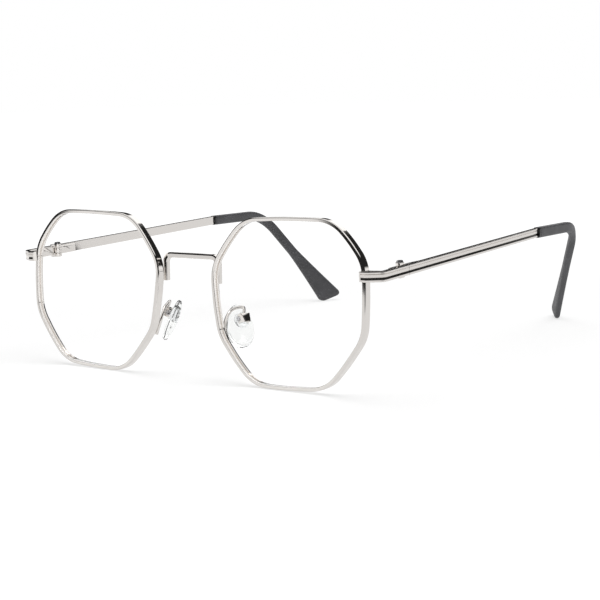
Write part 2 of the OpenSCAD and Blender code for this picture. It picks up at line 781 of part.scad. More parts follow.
// Tips: a moulded sleeve that bends over the ear and widens to a paddle
module tip(side) {
    color(charcoal)
        difference() {
            on_tip(side)
                skin([for (s = tip_stations) tip_section(s)]);
            on_tip(side)
                core_path(core_r + core_gap, core_r + core_gap + bend_ease, core_drop + core_gap);
            on_temple(side)
                tang_block(core_gap);
            on_temple(side)
                strip_end();
        }
}
// Pad arms: a wire from the rim's back, up and over to the pad box
rim_foot_y = sag(norm([opening_w / 2, nose_low])) - opening_w / 2 * sin(wrap) + rim_depth + wire_r + braze_gap;
foot_x = lens_x - opening_w / 2 + nose_lean - rim_t / 2;
wire_foot = [foot_x, rim_foot_y, -nose_low];
wire_seat = [box_d - box_front - wire_r, 0, box_h / 2 + braze_gap];
wire_down = pad_to_front(wire_seat + [0, 0, wire_rise]);
wire_end = pad_to_front(wire_seat);
wire_knots = concat([for (w = wire_offsets) wire_foot + w], [wire_down, wire_end]);
// Smooth curve through the knots
function curve(k, i, t) =
    let (n = len(k) - 1, a = k[max(0, i - 1)], b = k[i], c = k[min(n, i + 1)], d = k[min(n, i + 2)])
    0.5 * (2 * b + (c - a) * t + (2 * a - 5 * b + 4 * c - d) * t * t + (3 * b - a - 3 * c + d) * t * t * t);
wire_steps = 4;
wire_path = concat(
    [for (i = [0 : len(wire_knots) - 2]) for (j = [0 : wire_steps - 1]) curve(wire_knots, i, j / wire_steps)],
    [wire_knots[len(wire_knots) - 1]]
);
// Ring of wire round a point of the path, kept from twisting by one fixed side direction
function wire_ring(path, i) =
    let (n = len(path) - 1,
         along = i == n ? unit(wire_end - wire_down)
             : unit(path[min(n, i + 1)] - path[max(0, i - 1)]),
         side = unit([1, 0, 0] - (along * [1, 0, 0]) * along),
         up = cross(along, side))
    [for (k = [0 : 9]) path[i] + wire_r * (cos(36 * k) * side + sin(36 * k) * up)];
module pad_arm(side) {
    color(silver)
        both(side)
            skin([for (i = [0 : len(wire_path) - 1]) wire_ring(wire_path, i)]);
}
// Pad boxes: a small cup open towards the pad, cross-drilled for the screw
module across(r, low, high) {
    translate([0, low, 0])
        rotate([-90, 0, 0])
            cylinder(r = r, h = high - low, $fn = 32);
}
module pad_box(side) {
    color(silver)
        on_pad(side)
            difference() {
                translate([-box_front, -box_w / 2, -box_h / 2])
                    cube([box_d, box_w, box_h]);
                translate([-box_d, -box_w / 2 + box_wall, -box_h])
                    cube([box_d + slot_back, box_w - 2 * box_wall, 2 * box_h]);
                across(pad_screw_r + screw_gap, -box_w, box_w);
            }
}
module pad_screw(side) {
    color(steel)
        on_pad(side)
            difference() {
                union() {
                    across(pad_screw_r, -box_w / 2 - nothing, box_w / 2 + screw_tail);
                    across(pad_head_r, -box_w / 2 - pad_head_h, -box_w / 2);
                }
                translate([0, -box_w / 2 - pad_head_h, 0])
                    cube([fine_slot, 2 * slot_deep, 3 * pad_head_r], center = true);
            }
}
// Pad inserts: a lug that turns on the screw, on a disc held in the pad
module lug_block(grow, low, high) {
    translate([low, -lug_w / 2 - grow, -lug_h / 2 - grow])
        cube([high - low, lug_w + 2 * grow, lug_h + 2 * grow]);
}
module insert_disc(grow) {
    translate([insert_back - insert_t - grow, 0, 0])
        rotate([0, 90, 0])
            cylinder(r = insert_r + grow, h = insert_t + 2 * grow);
}
module pad_insert(side) {
    color(clear_pad)
        on_pad(side)
            difference() {
                union() {
                    insert_disc(0);
                    lug_block(0, insert_back - nothing, 0);
                    across(lug_h / 2, -lug_w / 2, lug_w / 2);
                }
                across(pad_screw_r + screw_gap, -box_w, box_w);
            }
}
// Nose pads: an egg-shaped cushion, crowned on the nose side
function pad_outline() = [for (k = [0 : 39])
    let (a = 9 * k)
    [pad_h / 2 * sin(a), pad_w / 2 * cos(a) * (1 - pad_egg * sin(a))]];
module nose_pad(side) {
    color(clear_pad)
        on_pad(side)
            difference() {
                intersection() {
                    translate([pad_face - pad_t, -pad_fore, -pad_drop])
                        rotate([0, 90, 0])
                            linear_extrude(height = pad_t)
                                polygon([for (p = pad_outline()) [-p[0], p[1]]]);
                    translate([pad_face - pad_t + pad_crown, -pad_fore, -pad_drop])
                        rotate([90, 0, 0])
                            sphere(r = pad_crown, $fn = 96);
                }
                insert_disc(insert_gap);
                lug_block(insert_gap, insert_back - insert_t / 2, 0);
            }
}

rim(1);  // left_rim
rim(-1);  // right_rim
lens(1);  // left_lens
lens(-1);  // right_lens
bridge();
endpiece(1);  // left_endpiece
endpiece(-1);  // right_endpiece
lock_upper(1);  // left_lock_upper
lock_upper(-1);  // right_lock_upper
lock_lower(1);  // left_lock_lower
lock_lower(-1);  // right_lock_lower
lock_screw(1);  // left_lock_screw
lock_screw(-1);  // right_lock_screw
front_hinge(1);  // left_front_hinge
front_hinge(-1);  // right_front_hinge
hinge_screw(1);  // left_hinge_screw
hinge_screw(-1);  // right_hinge_screw
pad_arm(1);  // left_pad_arm
pad_arm(-1);  // right_pad_arm
pad_box(1);  // left_pad_box
pad_box(-1);  // right_pad_box
pad_screw(1);  // left_pad_screw
pad_screw(-1);  // right_pad_screw
pad_insert(1);  // left_pad_insert
pad_insert(-1);  // right_pad_insert
nose_pad(1);  // left_nose_pad
nose_pad(-1);  // right_nose_pad
temple_arm(1);  // left_temple_arm
temple_arm(-1);  // right_temple_arm
temple_hinge(1);  // left_temple_hinge
temple_hinge(-1);  // right_temple_hinge
core_wire(1);  // left_core_wire
core_wire(-1);  // right_core_wire
tip(1);  // left_tip
tip(-1);  // right_tip
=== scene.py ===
# %% [markdown]
# Metal spectacles with soft octagonal rims
#
# A full-rim pair: polished silver wire round two clear lenses, a square wire bridge, grooved
# temple arms that fold on three-barrel hinges, charcoal tips and clear nose pads.
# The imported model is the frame. Its solids have the right sizes but flat facets, and a polished
# metal shows every facet, so each visible piece is drawn again here with fine, softened edges.
# Pieces are drawn in millimetres in a local frame where they are easy to describe, and a matrix
# then puts the mesh in its place, so that every object stays at the origin.

# %% Load the frame
import json
import math
import bmesh
import bpy
from mathutils import Matrix, Vector


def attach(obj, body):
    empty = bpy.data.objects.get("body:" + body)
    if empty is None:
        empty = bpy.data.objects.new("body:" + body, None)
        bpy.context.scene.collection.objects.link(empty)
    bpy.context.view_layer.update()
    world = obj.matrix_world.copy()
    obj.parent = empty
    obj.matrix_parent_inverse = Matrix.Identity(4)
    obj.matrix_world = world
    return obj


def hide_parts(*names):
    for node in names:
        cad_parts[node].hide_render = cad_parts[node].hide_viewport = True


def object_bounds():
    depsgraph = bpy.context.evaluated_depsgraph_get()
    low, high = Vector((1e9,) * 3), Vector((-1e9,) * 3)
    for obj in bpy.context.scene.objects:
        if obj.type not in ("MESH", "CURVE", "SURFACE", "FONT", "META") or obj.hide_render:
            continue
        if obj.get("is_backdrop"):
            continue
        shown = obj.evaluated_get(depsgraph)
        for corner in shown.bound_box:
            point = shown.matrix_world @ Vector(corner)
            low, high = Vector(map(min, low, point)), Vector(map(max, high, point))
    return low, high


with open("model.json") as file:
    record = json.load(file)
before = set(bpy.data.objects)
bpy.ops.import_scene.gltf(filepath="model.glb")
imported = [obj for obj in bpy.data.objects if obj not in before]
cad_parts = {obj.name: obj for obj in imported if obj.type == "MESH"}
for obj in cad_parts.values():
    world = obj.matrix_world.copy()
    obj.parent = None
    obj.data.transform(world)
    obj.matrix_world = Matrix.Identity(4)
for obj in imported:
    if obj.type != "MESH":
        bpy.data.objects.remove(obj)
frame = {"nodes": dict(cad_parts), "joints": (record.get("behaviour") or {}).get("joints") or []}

cad_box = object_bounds()
joints = {joint["name"]: joint for joint in frame["joints"]}

# %% [markdown]
# Sizes
#
# The spectacles are drawn from the same few sizes as their solids, in millimetres. A frame like
# this is made from drawn wire, so most pieces are one section swept along one path.

# %% Sizes of the front
OPENING_W = 49
OPENING_H = 45
NOSE_GAP = 21.4
BASE_R = 265
RIM_T = 1.05
RIM_DEPTH = 2.5
RIM_SLIT = 0.2
GROOVE_W = 0.7
GROOVE_DEPTH = 0.5
LENS_T = 1.6
LENS_GAP = 0.05
WRAP = math.radians(1)
LENS_X = (OPENING_W + NOSE_GAP) / 2

# %% Sizes of the temples
HINGE = Vector((LENS_X + OPENING_W / 2 + 3.5, 14.2, 9.75))
RISE = math.radians(4.35)
INWARD = math.radians(1)
BARREL_H = 4
STRIP_T = 1.3
STRIP_H = 2.85
STRIP_IN = 1.2
ARM_LENGTH = 77
SEAM_BACK = 0.6
SEAM_GAP = 0.05
END_BEND = 2.2
END_FLAT = 1.2
END_SWEEP = math.radians(28)
END_SOFT = 2.0
END_GAP = 0.22
TIP_DIP = math.radians(2.5)
EAR_ROLL = math.radians(27)

# %% [markdown]
# Places
#
# The glasses stand on the rims and the tips, so the front leans back a little. The lean and the
# lift are read from the left hinge of the frame: its axis is upright on the front, apart from the
# angle at which the arms rise. Each local frame below is one matrix: the front, a lens (x to the
# temple, y up, z out of the front), a temple (the hinge axis at x = y = 0), a tip and a nose pad.

# %% Local frames
def turned(angle, axis):
    return Matrix.Rotation(angle, 4, axis)


def moved(x, y, z):
    return Matrix.Translation((x, y, z))


left_hinge = joints["left_temple_fold"]
LEAN = math.asin(-left_hinge["axis"][1]) - RISE
hinge_at = Vector(left_hinge["pos_m"]) * 1000
STAND = Matrix.Translation(hinge_at - turned(LEAN, "X") @ HINGE) @ turned(LEAN, "X")
MILLIMETRE = Matrix.Scale(0.001, 4)
SIDES = {"left": 1, "right": -1}

ON_LENS = moved(LENS_X, 0, 0) @ turned(WRAP, "Z") @ turned(math.pi / 2, "X")
ON_TEMPLE = Matrix.Translation(HINGE) @ turned(RISE, "X") @ turned(INWARD, "Z")
arm_end = moved(STRIP_IN + STRIP_T / 2, ARM_LENGTH, 0)
ON_TIP = ON_TEMPLE @ arm_end @ turned(-TIP_DIP, "X") @ turned(EAR_ROLL, "Y")


def place(local, side="left"):
    """The matrix from a local frame of one side, in millimetres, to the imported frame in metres."""
    mirror = Matrix.Diagonal((SIDES[side], 1, 1, 1))
    return MILLIMETRE @ STAND @ mirror @ local


print("the front leans back", round(-math.degrees(LEAN), 2), "degrees")

# %% [markdown]
# Colours and nodes
#
# Colours are written as the hex values a paint chart gives. Blender's shaders work in linear
# light, so one function converts them. One more function adds a node: a setting is set, a plain
# value goes on the socket, another node's output is linked to it, and a node stands for its first
# output.

# %% Helpers for materials
def linear(hex_colour):
    """The linear colour, with full alpha, of an sRGB hex value."""
    values = [int(hex_colour[i:i + 2], 16) / 255 for i in (1, 3, 5)]
    return [v / 12.92 if v <= 0.04045 else ((v + 0.055) / 1.055) ** 2.4 for v in values] + [1.0]


def add_node(tree, kind, settings=None, **sockets):
    made = tree.nodes.new(kind)
    for name, value in (settings or {}).items():
        setattr(made, name, value)
    for name, value in sockets.items():
        key = int(name[1:]) if name[1:].isdigit() else name.replace("_", " ")
        if isinstance(value, bpy.types.Node):
            value = value.outputs[0]
        if isinstance(value, bpy.types.NodeSocket):
            tree.links.new(value, made.inputs[key])
        else:
            made.inputs[key].default_value = value
    return made


def new_material(name):
    """A material with an empty tree; the third value is the place on the object, for noises."""
    material = bpy.data.materials.new(name)
    material.use_nodes = True
    tree = material.node_tree
    tree.nodes.clear()
    return material, tree, add_node(tree, "ShaderNodeTexCoord").outputs["Object"]


def noise_of(tree, place_on, size_mm, low, high, detail=2.0):
    """A soft noise with features of a real size, spread from low to high."""
    noise = add_node(tree, "ShaderNodeTexNoise", Vector=place_on, Scale=1000 / size_mm, Detail=detail)
    spread = add_node(
        tree, "ShaderNodeMapRange",
        Value=noise.outputs[0], From_Min=0.3, From_Max=0.7, To_Min=low, To_Max=high,
    )
    return spread.outputs[0]


# %% [markdown]
# Metals
#
# The wire is nickel silver with a polished silver plating: close to a mirror, a little warm, and
# softened by the finest polishing marks. Those are far too fine to draw, so they are only a noise
# in the roughness, a few millimetres wide as a polishing wheel leaves it, with a faint waviness.
# The screws are turned steel: darker and duller.

# %% Polished silver and turned steel
def polished_silver():
    material, tree, place_on = new_material("Polished silver plating on nickel silver")
    wave = add_node(tree, "ShaderNodeTexNoise", Vector=place_on, Scale=1000 / 2.5, Detail=1.0)
    bump = add_node(tree, "ShaderNodeBump", Height=wave.outputs[0], Strength=0.04, Distance=0.00004)
    shader = add_node(
        tree, "ShaderNodeBsdfPrincipled",
        Base_Color=linear("#e6e2de"), Metallic=1.0,
        Roughness=noise_of(tree, place_on, 3, 0.045, 0.09), Normal=bump.outputs[0],
    )
    add_node(tree, "ShaderNodeOutputMaterial", _0=shader)
    return material


def turned_steel():
    material, tree, place_on = new_material("Turned stainless steel")
    shader = add_node(
        tree, "ShaderNodeBsdfPrincipled",
        Base_Color=linear("#b4b4b6"), Metallic=1.0, Roughness=noise_of(tree, place_on, 0.3, 0.2, 0.32),
    )
    add_node(tree, "ShaderNodeOutputMaterial", _0=shader)
    return material


# %% [markdown]
# Clear plastics
#
# The lenses are polished lens plastic and the pads are soft silicone. Both let light through
# rather than cast a solid shadow, so their shadow rays pass a transparent shader. A coat on the
# lenses takes nearly all their reflection away, so they bend and mirror hardly anything: only
# their edges show. The pad is satin, since silicone is moulded in a lightly textured tool.

# %% Lens plastic, silicone and the inserts
def clear_plastic(name, tint, ior, roughness):
    material, tree, place_on = new_material(name)
    shader = add_node(
        tree, "ShaderNodeBsdfPrincipled",
        Base_Color=linear(tint), Transmission_Weight=1.0, IOR=ior, Roughness=roughness(tree, place_on),
    )
    passing = add_node(tree, "ShaderNodeBsdfTransparent", Color=linear("#f4f5f5"))
    path = add_node(tree, "ShaderNodeLightPath")
    both = add_node(
        tree, "ShaderNodeMixShader", _0=path.outputs["Is Shadow Ray"], _1=shader, _2=passing
    )
    add_node(tree, "ShaderNodeOutputMaterial", _0=both)
    return material


def lens_plastic():
    return clear_plastic(
        "Clear lens plastic with an anti-reflection coat", "#ffffff", 1.03, lambda tree, at: 0.0
    )


def silicone():
    return clear_plastic(
        "Clear moulded silicone", "#fafbfa", 1.41, lambda tree, at: noise_of(tree, at, 0.6, 0.04, 0.1)
    )


def insert_plastic():
    return clear_plastic(
        "Clear moulded polycarbonate", "#f3f4f5", 1.58, lambda tree, at: noise_of(tree, at, 0.8, 0.03, 0.08)
    )


# %% [markdown]
# Charcoal acetate
#
# The tips are cellulose acetate, tumbled to a satin shine. The colour is dyed right through, and
# the sheet it is cut from has faint clouds a few millimetres wide. The near-black of the collar at
# each tip's mouth is painted shade: it stands in for the shadow in the gap where the sleeve begins.

# %% Acetate for the tips, and near-black painted shade for their collars
def acetate(name, dark, pale, low, high):
    material, tree, place_on = new_material(name)
    cloud = noise_of(tree, place_on, 6, 0.0, 1.0, 3.0)
    tint = add_node(
        tree, "ShaderNodeMix", {"data_type": "RGBA"}, _0=cloud, _6=linear(dark), _7=linear(pale)
    )
    grain = add_node(tree, "ShaderNodeTexNoise", Vector=place_on, Scale=1000 / 0.4, Detail=2.0)
    bump = add_node(tree, "ShaderNodeBump", Height=grain.outputs[0], Strength=0.06, Distance=0.00003)
    shader = add_node(
        tree, "ShaderNodeBsdfPrincipled",
        Base_Color=tint.outputs[2], IOR=1.48, Roughness=noise_of(tree, place_on, 2, low, high),
        Normal=bump.outputs[0],
    )
    add_node(tree, "ShaderNodeOutputMaterial", _0=shader)
    return material


SILVER = polished_silver()
STEEL = turned_steel()
LENS_PLASTIC = lens_plastic()
SILICONE = silicone()
INSERT_PLASTIC = insert_plastic()
CHARCOAL = acetate("Satin charcoal acetate", "#48484a", "#525255", 0.4, 0.5)
# Near-black painted shade for the collar ring at each tip's mouth, where the gap lies in shadow
COLLAR_PAINTED_SHADE = acetate("Polished black acetate as painted shade at the tip mouth", "#0c0c0e", "#111114", 0.2, 0.28)
print("materials:", len(bpy.data.materials))

# %% [markdown]
# Making pieces
#
# A piece is a closed mesh in its local frame. One function moves the mesh into place and points
# its faces outwards. Another gives it its material, marks the sharp edges, says which body the
# piece rides on and hides the solids of the frame it is drawn for.

# %% From a mesh to a finished piece
SHARP = math.radians(38)


def new_object(name, data):
    made = bpy.data.objects.new(name, data)
    bpy.context.collection.objects.link(made)
    return made


def dress(name, mesh, material, body, nodes):
    """The piece itself, with its material, shading and body; the solids it is drawn for are hidden."""
    mesh.materials.clear()
    mesh.materials.append(material)
    mesh.shade_smooth()
    mesh.set_sharp_from_angle(angle=SHARP)
    piece = new_object(name, mesh)
    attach(piece, body)
    if nodes:
        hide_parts(*nodes)


def finish_piece(name, mesh, matrix, material, body, slot, *nodes):
    work = bmesh.new()
    work.from_mesh(mesh)
    bmesh.ops.remove_doubles(work, verts=work.verts, dist=1e-4)
    bmesh.ops.transform(work, matrix=matrix, verts=work.verts)
    bmesh.ops.recalc_face_normals(work, faces=work.faces)
    work.to_mesh(mesh)
    work.free()
    dress(name, mesh, material, body, nodes)


def loft(name, rings):
    """A mesh through rings of points. Its two ends are closed by a fan round their middles."""
    count = len(rings[0])
    points = [point for ring in rings for point in ring]
    faces = []
    for j in range(len(rings) - 1):
        for k in range(count):
            a = j * count + k
            b = j * count + (k + 1) % count
            faces.append((a, b, b + count, a + count))
    for j in (0, len(rings) - 1):
        middle = sum((Vector(point) for point in rings[j]), Vector()) / count
        points.append(middle)
        faces += [(j * count + k, j * count + (k + 1) % count, len(points) - 1) for k in range(count)]
    mesh = bpy.data.meshes.new(name)
    mesh.from_pydata([tuple(point) for point in points], [], faces)
    return mesh


# %% [markdown]
# The rim's outline
#
# Eight straight-looking sides with soft corners. In fact each side bows out by half a
# millimetre, as sprung wire does, so the outline is sixteen arcs: one at every corner and one at
# the middle of every side. The points are the sharp corners, anticlockwise from the upper temple
# corner, and a larger outline keeps the same centres, so the wire has the same width all round.

# %% Outline of the opening
SIDE_BOW = 0.48
CORNER_R = 10.7
BOW_SHARE = 0.8
CORNER_STEPS, BOW_STEPS = 16, 10
side_x = OPENING_W / 2 - SIDE_BOW
top_y = OPENING_H / 2 - SIDE_BOW
TOP_HALF = 14.4
NOSE_IN, NOSE_LOW = 2.3, 9.8
CORNERS = [
    Vector((side_x, 11.8)), Vector((TOP_HALF, top_y + 0.3)),
    Vector((-TOP_HALF, top_y - 0.3)), Vector((-OPENING_W / 2 - 0.3, 8.6)),
    Vector((-OPENING_W / 2 + NOSE_IN, -NOSE_LOW)), Vector((-10.9, -top_y - 0.45)),
    Vector((12.8, -top_y + 0.45)), Vector((side_x, -7.4)),
]


def outline_knots():
    knots = []
    for i, corner in enumerate(CORNERS):
        ahead = CORNERS[(i + 1) % 8]
        along = (ahead - corner).normalized()
        knots += [corner, (corner + ahead) / 2 + SIDE_BOW * Vector((along.y, -along.x))]
    return knots


def outline(grow):
    """The closed outline, grown outwards by a number of millimetres."""
    knots = outline_knots()
    backs = [knots[i - 1] - knots[i] for i in range(16)]
    aheads = [knots[(i + 1) % 16] - knots[i] for i in range(16)]
    halves = [back.angle(ahead) / 2 for back, ahead in zip(backs, aheads)]
    points = []
    for i, (knot, back, ahead, half) in enumerate(zip(knots, backs, aheads, halves)):
        radius, steps = CORNER_R, CORNER_STEPS
        if i % 2:
            free_back = back.length - CORNER_R / math.tan(halves[i - 1])
            free_ahead = ahead.length - CORNER_R / math.tan(halves[(i + 1) % 16])
            radius, steps = BOW_SHARE * min(free_back, free_ahead) * math.tan(half), BOW_STEPS
        centre = knot + (back.normalized() + ahead.normalized()).normalized() * radius / math.sin(half)
        spoke = knot + back.normalized() * radius / math.tan(half) - centre
        start = math.atan2(spoke.y, spoke.x)
        for k in range(steps + 1):
            angle = start + (math.pi - 2 * half) * k / steps
            points.append(centre + (radius + grow) * Vector((math.cos(angle), math.sin(angle))))
    return points


def sag(distance):
    """How far the lens sphere falls back at a distance from the lens middle."""
    return BASE_R - math.sqrt(BASE_R ** 2 - distance ** 2)


print("outline:", len(outline(0)), "points")

# %% [markdown]
# A section with soft corners
#
# Drawn wire has no sharp edge: a small round runs along it and catches the light as one thin
# line. Each corner of a section becomes an arc, with one more point close to each end of it, so
# that the smooth shading of the arc doesn't spread over the flat beside it.

# %% Soften a section
def soften(corners, steps=5, hold=0.02):
    """Turns a closed list of (x, y, radius) into points with rounded corners."""
    points = []
    for i, (x, y, radius) in enumerate(corners):
        knot = Vector((x, y))
        if radius == 0:
            points.append(knot)
            continue
        back = Vector(corners[i - 1][:2]) - knot
        ahead = Vector(corners[(i + 1) % len(corners)][:2]) - knot
        half = back.angle(ahead) / 2
        reach = radius / math.tan(half)
        centre = knot + (back.normalized() + ahead.normalized()).normalized() * radius / math.sin(half)
        first = knot + back.normalized() * reach - centre
        last = knot + ahead.normalized() * reach - centre
        points.append(centre + first + back.normalized() * hold)
        for k in range(steps + 1):
            points.append(centre + first.slerp(last, k / steps).normalized() * radius)
        points.append(centre + last + ahead.normalized() * hold)
    return points


# %% [markdown]
# Sweeping wire with Geometry Nodes
#
# Rims, bridge, endpieces, arms and pad wires are all one section along one path, which is what
# Geometry Nodes do best. The tree takes the path as a chain of edges and the section as another
# object, keeps the section upright, and can bend the result over the lens sphere: a rim is swept
# flat, then every point falls back by the sphere's sag. The result becomes a plain mesh.

# %% The tree that sweeps a section
def group_of(name, inputs):
    """A geometry tree with a Geometry input and output and the named inputs."""
    tree = bpy.data.node_groups.new(name, "GeometryNodeTree")
    tree.interface.new_socket("Geometry", in_out="INPUT", socket_type="NodeSocketGeometry")
    for label, kind in inputs:
        tree.interface.new_socket(label, in_out="INPUT", socket_type="NodeSocket" + kind)
    tree.interface.new_socket("Geometry", in_out="OUTPUT", socket_type="NodeSocketGeometry")
    return tree, add_node(tree, "NodeGroupInput").outputs


def end_group(tree, geometry, material):
    real = add_node(tree, "GeometryNodeRealizeInstances", _0=geometry)
    dressed = add_node(tree, "GeometryNodeSetMaterial", Geometry=real, Material=material)
    add_node(tree, "NodeGroupOutput", _0=dressed)


def sweep_tree():
    tree, given = group_of(
        "Sweep a wire section",
        [("Section", "Object"), ("Bend radius", "Float"), ("Bent", "Float"), ("Material", "Material")],
    )
    path = add_node(tree, "GeometryNodeMeshToCurve", Mesh=given["Geometry"])
    level = add_node(tree, "GeometryNodeSetCurveNormal", {"mode": "Z_UP"}, Curve=path)
    section = add_node(tree, "GeometryNodeObjectInfo", Object=given["Section"])
    loop = add_node(tree, "GeometryNodeMeshToCurve", Mesh=section.outputs["Geometry"])
    swept = add_node(tree, "GeometryNodeCurveToMesh", _0=level, _1=loop, Fill_Caps=True)
    times, less = {"operation": "MULTIPLY"}, {"operation": "SUBTRACT"}
    where = add_node(tree, "GeometryNodeInputPosition")
    at = add_node(tree, "ShaderNodeVectorMath", times, _0=where, _1=(1, 1, 0))
    reach = add_node(tree, "ShaderNodeVectorMath", {"operation": "DOT_PRODUCT"}, _0=at, _1=at)
    radius = given["Bend radius"]
    square = add_node(tree, "ShaderNodeMath", times, _0=radius, _1=radius)
    left = add_node(tree, "ShaderNodeMath", less, _0=square, _1=reach.outputs["Value"])
    height = add_node(tree, "ShaderNodeMath", {"operation": "SQRT"}, _0=left)
    sagging = add_node(tree, "ShaderNodeMath", less, _0=height, _1=radius)
    fall = add_node(tree, "ShaderNodeMath", times, _0=sagging, _1=given["Bent"])
    drop = add_node(tree, "ShaderNodeCombineXYZ", _2=fall)
    bent = add_node(tree, "GeometryNodeSetPosition", Geometry=swept, Offset=drop)
    end_group(tree, bent, given["Material"])
    return tree


SWEEP = sweep_tree()


def edge_chain(name, points, closed=False):
    """An object that is a chain of edges through the points."""
    edges = [(i, i + 1) for i in range(len(points) - 1)]
    if closed:
        edges.append((len(points) - 1, 0))
    mesh = bpy.data.meshes.new(name)
    mesh.from_pydata([(*point, 0)[:3] for point in points], edges, [])
    return new_object(name, mesh)


def made_by(tree, chain, **inputs):
    """The plain mesh that a geometry tree makes of an object; the object and its modifier go."""
    modifier = chain.modifiers.new(tree.name, "NODES")
    modifier.node_group = tree
    keys = {item.name: item.identifier for item in tree.interface.items_tree if item.in_out == "INPUT"}
    for name, value in inputs.items():
        modifier[keys[name.replace("_", " ")]] = value
    graph = bpy.context.evaluated_depsgraph_get()
    mesh = bpy.data.meshes.new_from_object(chain.evaluated_get(graph), depsgraph=graph)
    bpy.data.objects.remove(chain)
    return mesh


def swept(name, path, section, bent=0.0, material=SILVER):
    """A section, x outwards and y up, swept along a path that runs with its inside on the left."""
    loop = edge_chain(name + "_section", [(x, -y) for x, y in section], closed=True)
    mesh = made_by(
        SWEEP, edge_chain(name, path), Section=loop, Bend_radius=float(BASE_R), Bent=bent, Material=material
    )
    bpy.data.objects.remove(loop)
    return mesh


# %% [markdown]
# Rims
#
# The rim wire is 1.05 mm wide from the front and 2.5 mm deep, with the lens groove inside. Its
# outer front edge is rounded off most, and that round is the thin white line between two black
# bands in the photograph. The wire is cut at the temple side, where the closing block clamps it,
# so the path starts just above the cut and ends just below it.

# %% Sweep the two rims
LOCK_UP = 8.79


def rim_path():
    """The opening's outline, anticlockwise from just above the cut to just below it."""
    points = outline(0)
    above = LOCK_UP + RIM_SLIT / 2
    below = LOCK_UP - RIM_SLIT / 2
    crossing = next(
        i for i in range(len(points)) if points[i].x > 0 and points[i - 1].y < LOCK_UP <= points[i].y
    )
    before, after = points[crossing - 1], points[crossing]
    first = before.lerp(after, (above - before.y) / (after.y - before.y))
    last = before.lerp(after, (below - before.y) / (after.y - before.y))
    onwards = points[crossing:] + points[:crossing]
    return [first] + [p for p in onwards if p.x < 0 or abs(p.y - LOCK_UP) > RIM_SLIT] + [last]


groove_front = -(RIM_DEPTH - GROOVE_W) / 2
groove_back = -(RIM_DEPTH + GROOVE_W) / 2
RIM_SECTION = soften([
    (0, 0, 0.12), (0, groove_front, 0), (GROOVE_DEPTH, groove_front, 0),
    (GROOVE_DEPTH, groove_back, 0), (0, groove_back, 0), (0, -RIM_DEPTH, 0.12),
    (RIM_T, -RIM_DEPTH, 0.3), (RIM_T, 0, 0.32),
])

for side in SIDES:
    mesh = swept(side + "_rim_wire", rim_path(), RIM_SECTION, bent=1.0)
    finish_piece(
        side + "_rim_wire", mesh, place(ON_LENS, side), SILVER, "front", "polished_silver", side + "_rim"
    )
print("rim section:", len(RIM_SECTION), "points")

# %% [markdown]
# Lenses
#
# A lens is a plate 1.6 mm thick, curved to the base radius, with a tongue round its edge that
# sits in the rim's groove. It is drawn as rings: the outline shrunk towards the middle in small
# steps for the two faces, and the tongue's profile between them.

# %% Loft the two lenses
LENS_FRONT = (RIM_DEPTH - LENS_T) / 2
LENS_RINGS = 14


def lens_ring(share, grow, depth):
    """The outline, shrunk to a share of its size, at a depth behind the lens front's middle."""
    return [
        Vector((p.x * share, p.y * share, -sag(p.length * share) - depth)) for p in outline(grow)
    ]


def lens_rings():
    shares = [(k + 1) / LENS_RINGS for k in range(LENS_RINGS)]
    front = [lens_ring(share, -LENS_GAP, LENS_FRONT) for share in shares]
    back = [lens_ring(share, -LENS_GAP, LENS_FRONT + LENS_T) for share in reversed(shares)]
    tongue_in = (RIM_DEPTH - GROOVE_W) / 2 + LENS_GAP
    tongue_out = (RIM_DEPTH + GROOVE_W) / 2 - LENS_GAP
    tongue = GROOVE_DEPTH - LENS_GAP
    edge = [
        lens_ring(1, -LENS_GAP, tongue_in), lens_ring(1, tongue, tongue_in),
        lens_ring(1, tongue, tongue_out), lens_ring(1, -LENS_GAP, tongue_out),
    ]
    return front + edge + back


for side in SIDES:
    mesh = loft(side + "_lens_blank", lens_rings())
    finish_piece(
        side + "_lens_blank", mesh, place(ON_LENS, side), LENS_PLASTIC, "front", "clear_lens", side + "_lens"
    )
print("lens rings:", 2 * LENS_RINGS + 4)

# %% [markdown]
# Bridge
#
# One square wire, 1.55 mm thick, bent into a staple: a bar between the rims and two short legs
# brazed behind them. Bending draws its front face back a little along the outer edge, and that
# facet mirrors the dark room above the table, as the black line along the bar. The path is drawn
# flat, then turned upright, so that the section stays level.

# %% Sweep the bridge
BRIDGE_WIRE = 1.55
BRIDGE_UP = 12.1
BRIDGE_FOOT = 3.9
BRIDGE_BEND = 3
BRIDGE_LAP = 0.75
BRIDGE_GAP = 0.05
TOP_FACET, TOP_FALL = 0.5, 0.13


def arc(centre, radius, start, stop, steps=16):
    """Points of an arc in the xy plane; the angles are in degrees."""
    angles = [math.radians(start + (stop - start) * k / steps) for k in range(steps + 1)]
    return [Vector((centre[0] + radius * math.cos(a), centre[1] + radius * math.sin(a), 0)) for a in angles]


rim_nose_y = (
    sag(math.hypot(OPENING_W / 2 + RIM_T, BRIDGE_UP - BRIDGE_BEND / 2)) - OPENING_W / 2 * math.sin(WRAP)
)
BRIDGE_Y = rim_nose_y + RIM_DEPTH + BRIDGE_GAP + BRIDGE_WIRE / 2
bridge_bar = NOSE_GAP / 2 - RIM_T + BRIDGE_LAP - BRIDGE_BEND
bend = BRIDGE_BEND - BRIDGE_WIRE / 2
leg = BRIDGE_FOOT - BRIDGE_UP + BRIDGE_WIRE / 2
bridge_path = (
    [Vector((bridge_bar + bend, leg, 0))] + arc((bridge_bar, -bend), bend, 0, 90)
    + arc((-bridge_bar, -bend), bend, 90, 180) + [Vector((-bridge_bar - bend, leg, 0))]
)
core = BRIDGE_WIRE / 2
BRIDGE_SECTION = soften([
    (-core, -core, 0.3), (core, -core, 0.3), (core, core - TOP_FALL, 0.06), (core - TOP_FACET, core, 0.3),
    (-core, core, 0.3),
])
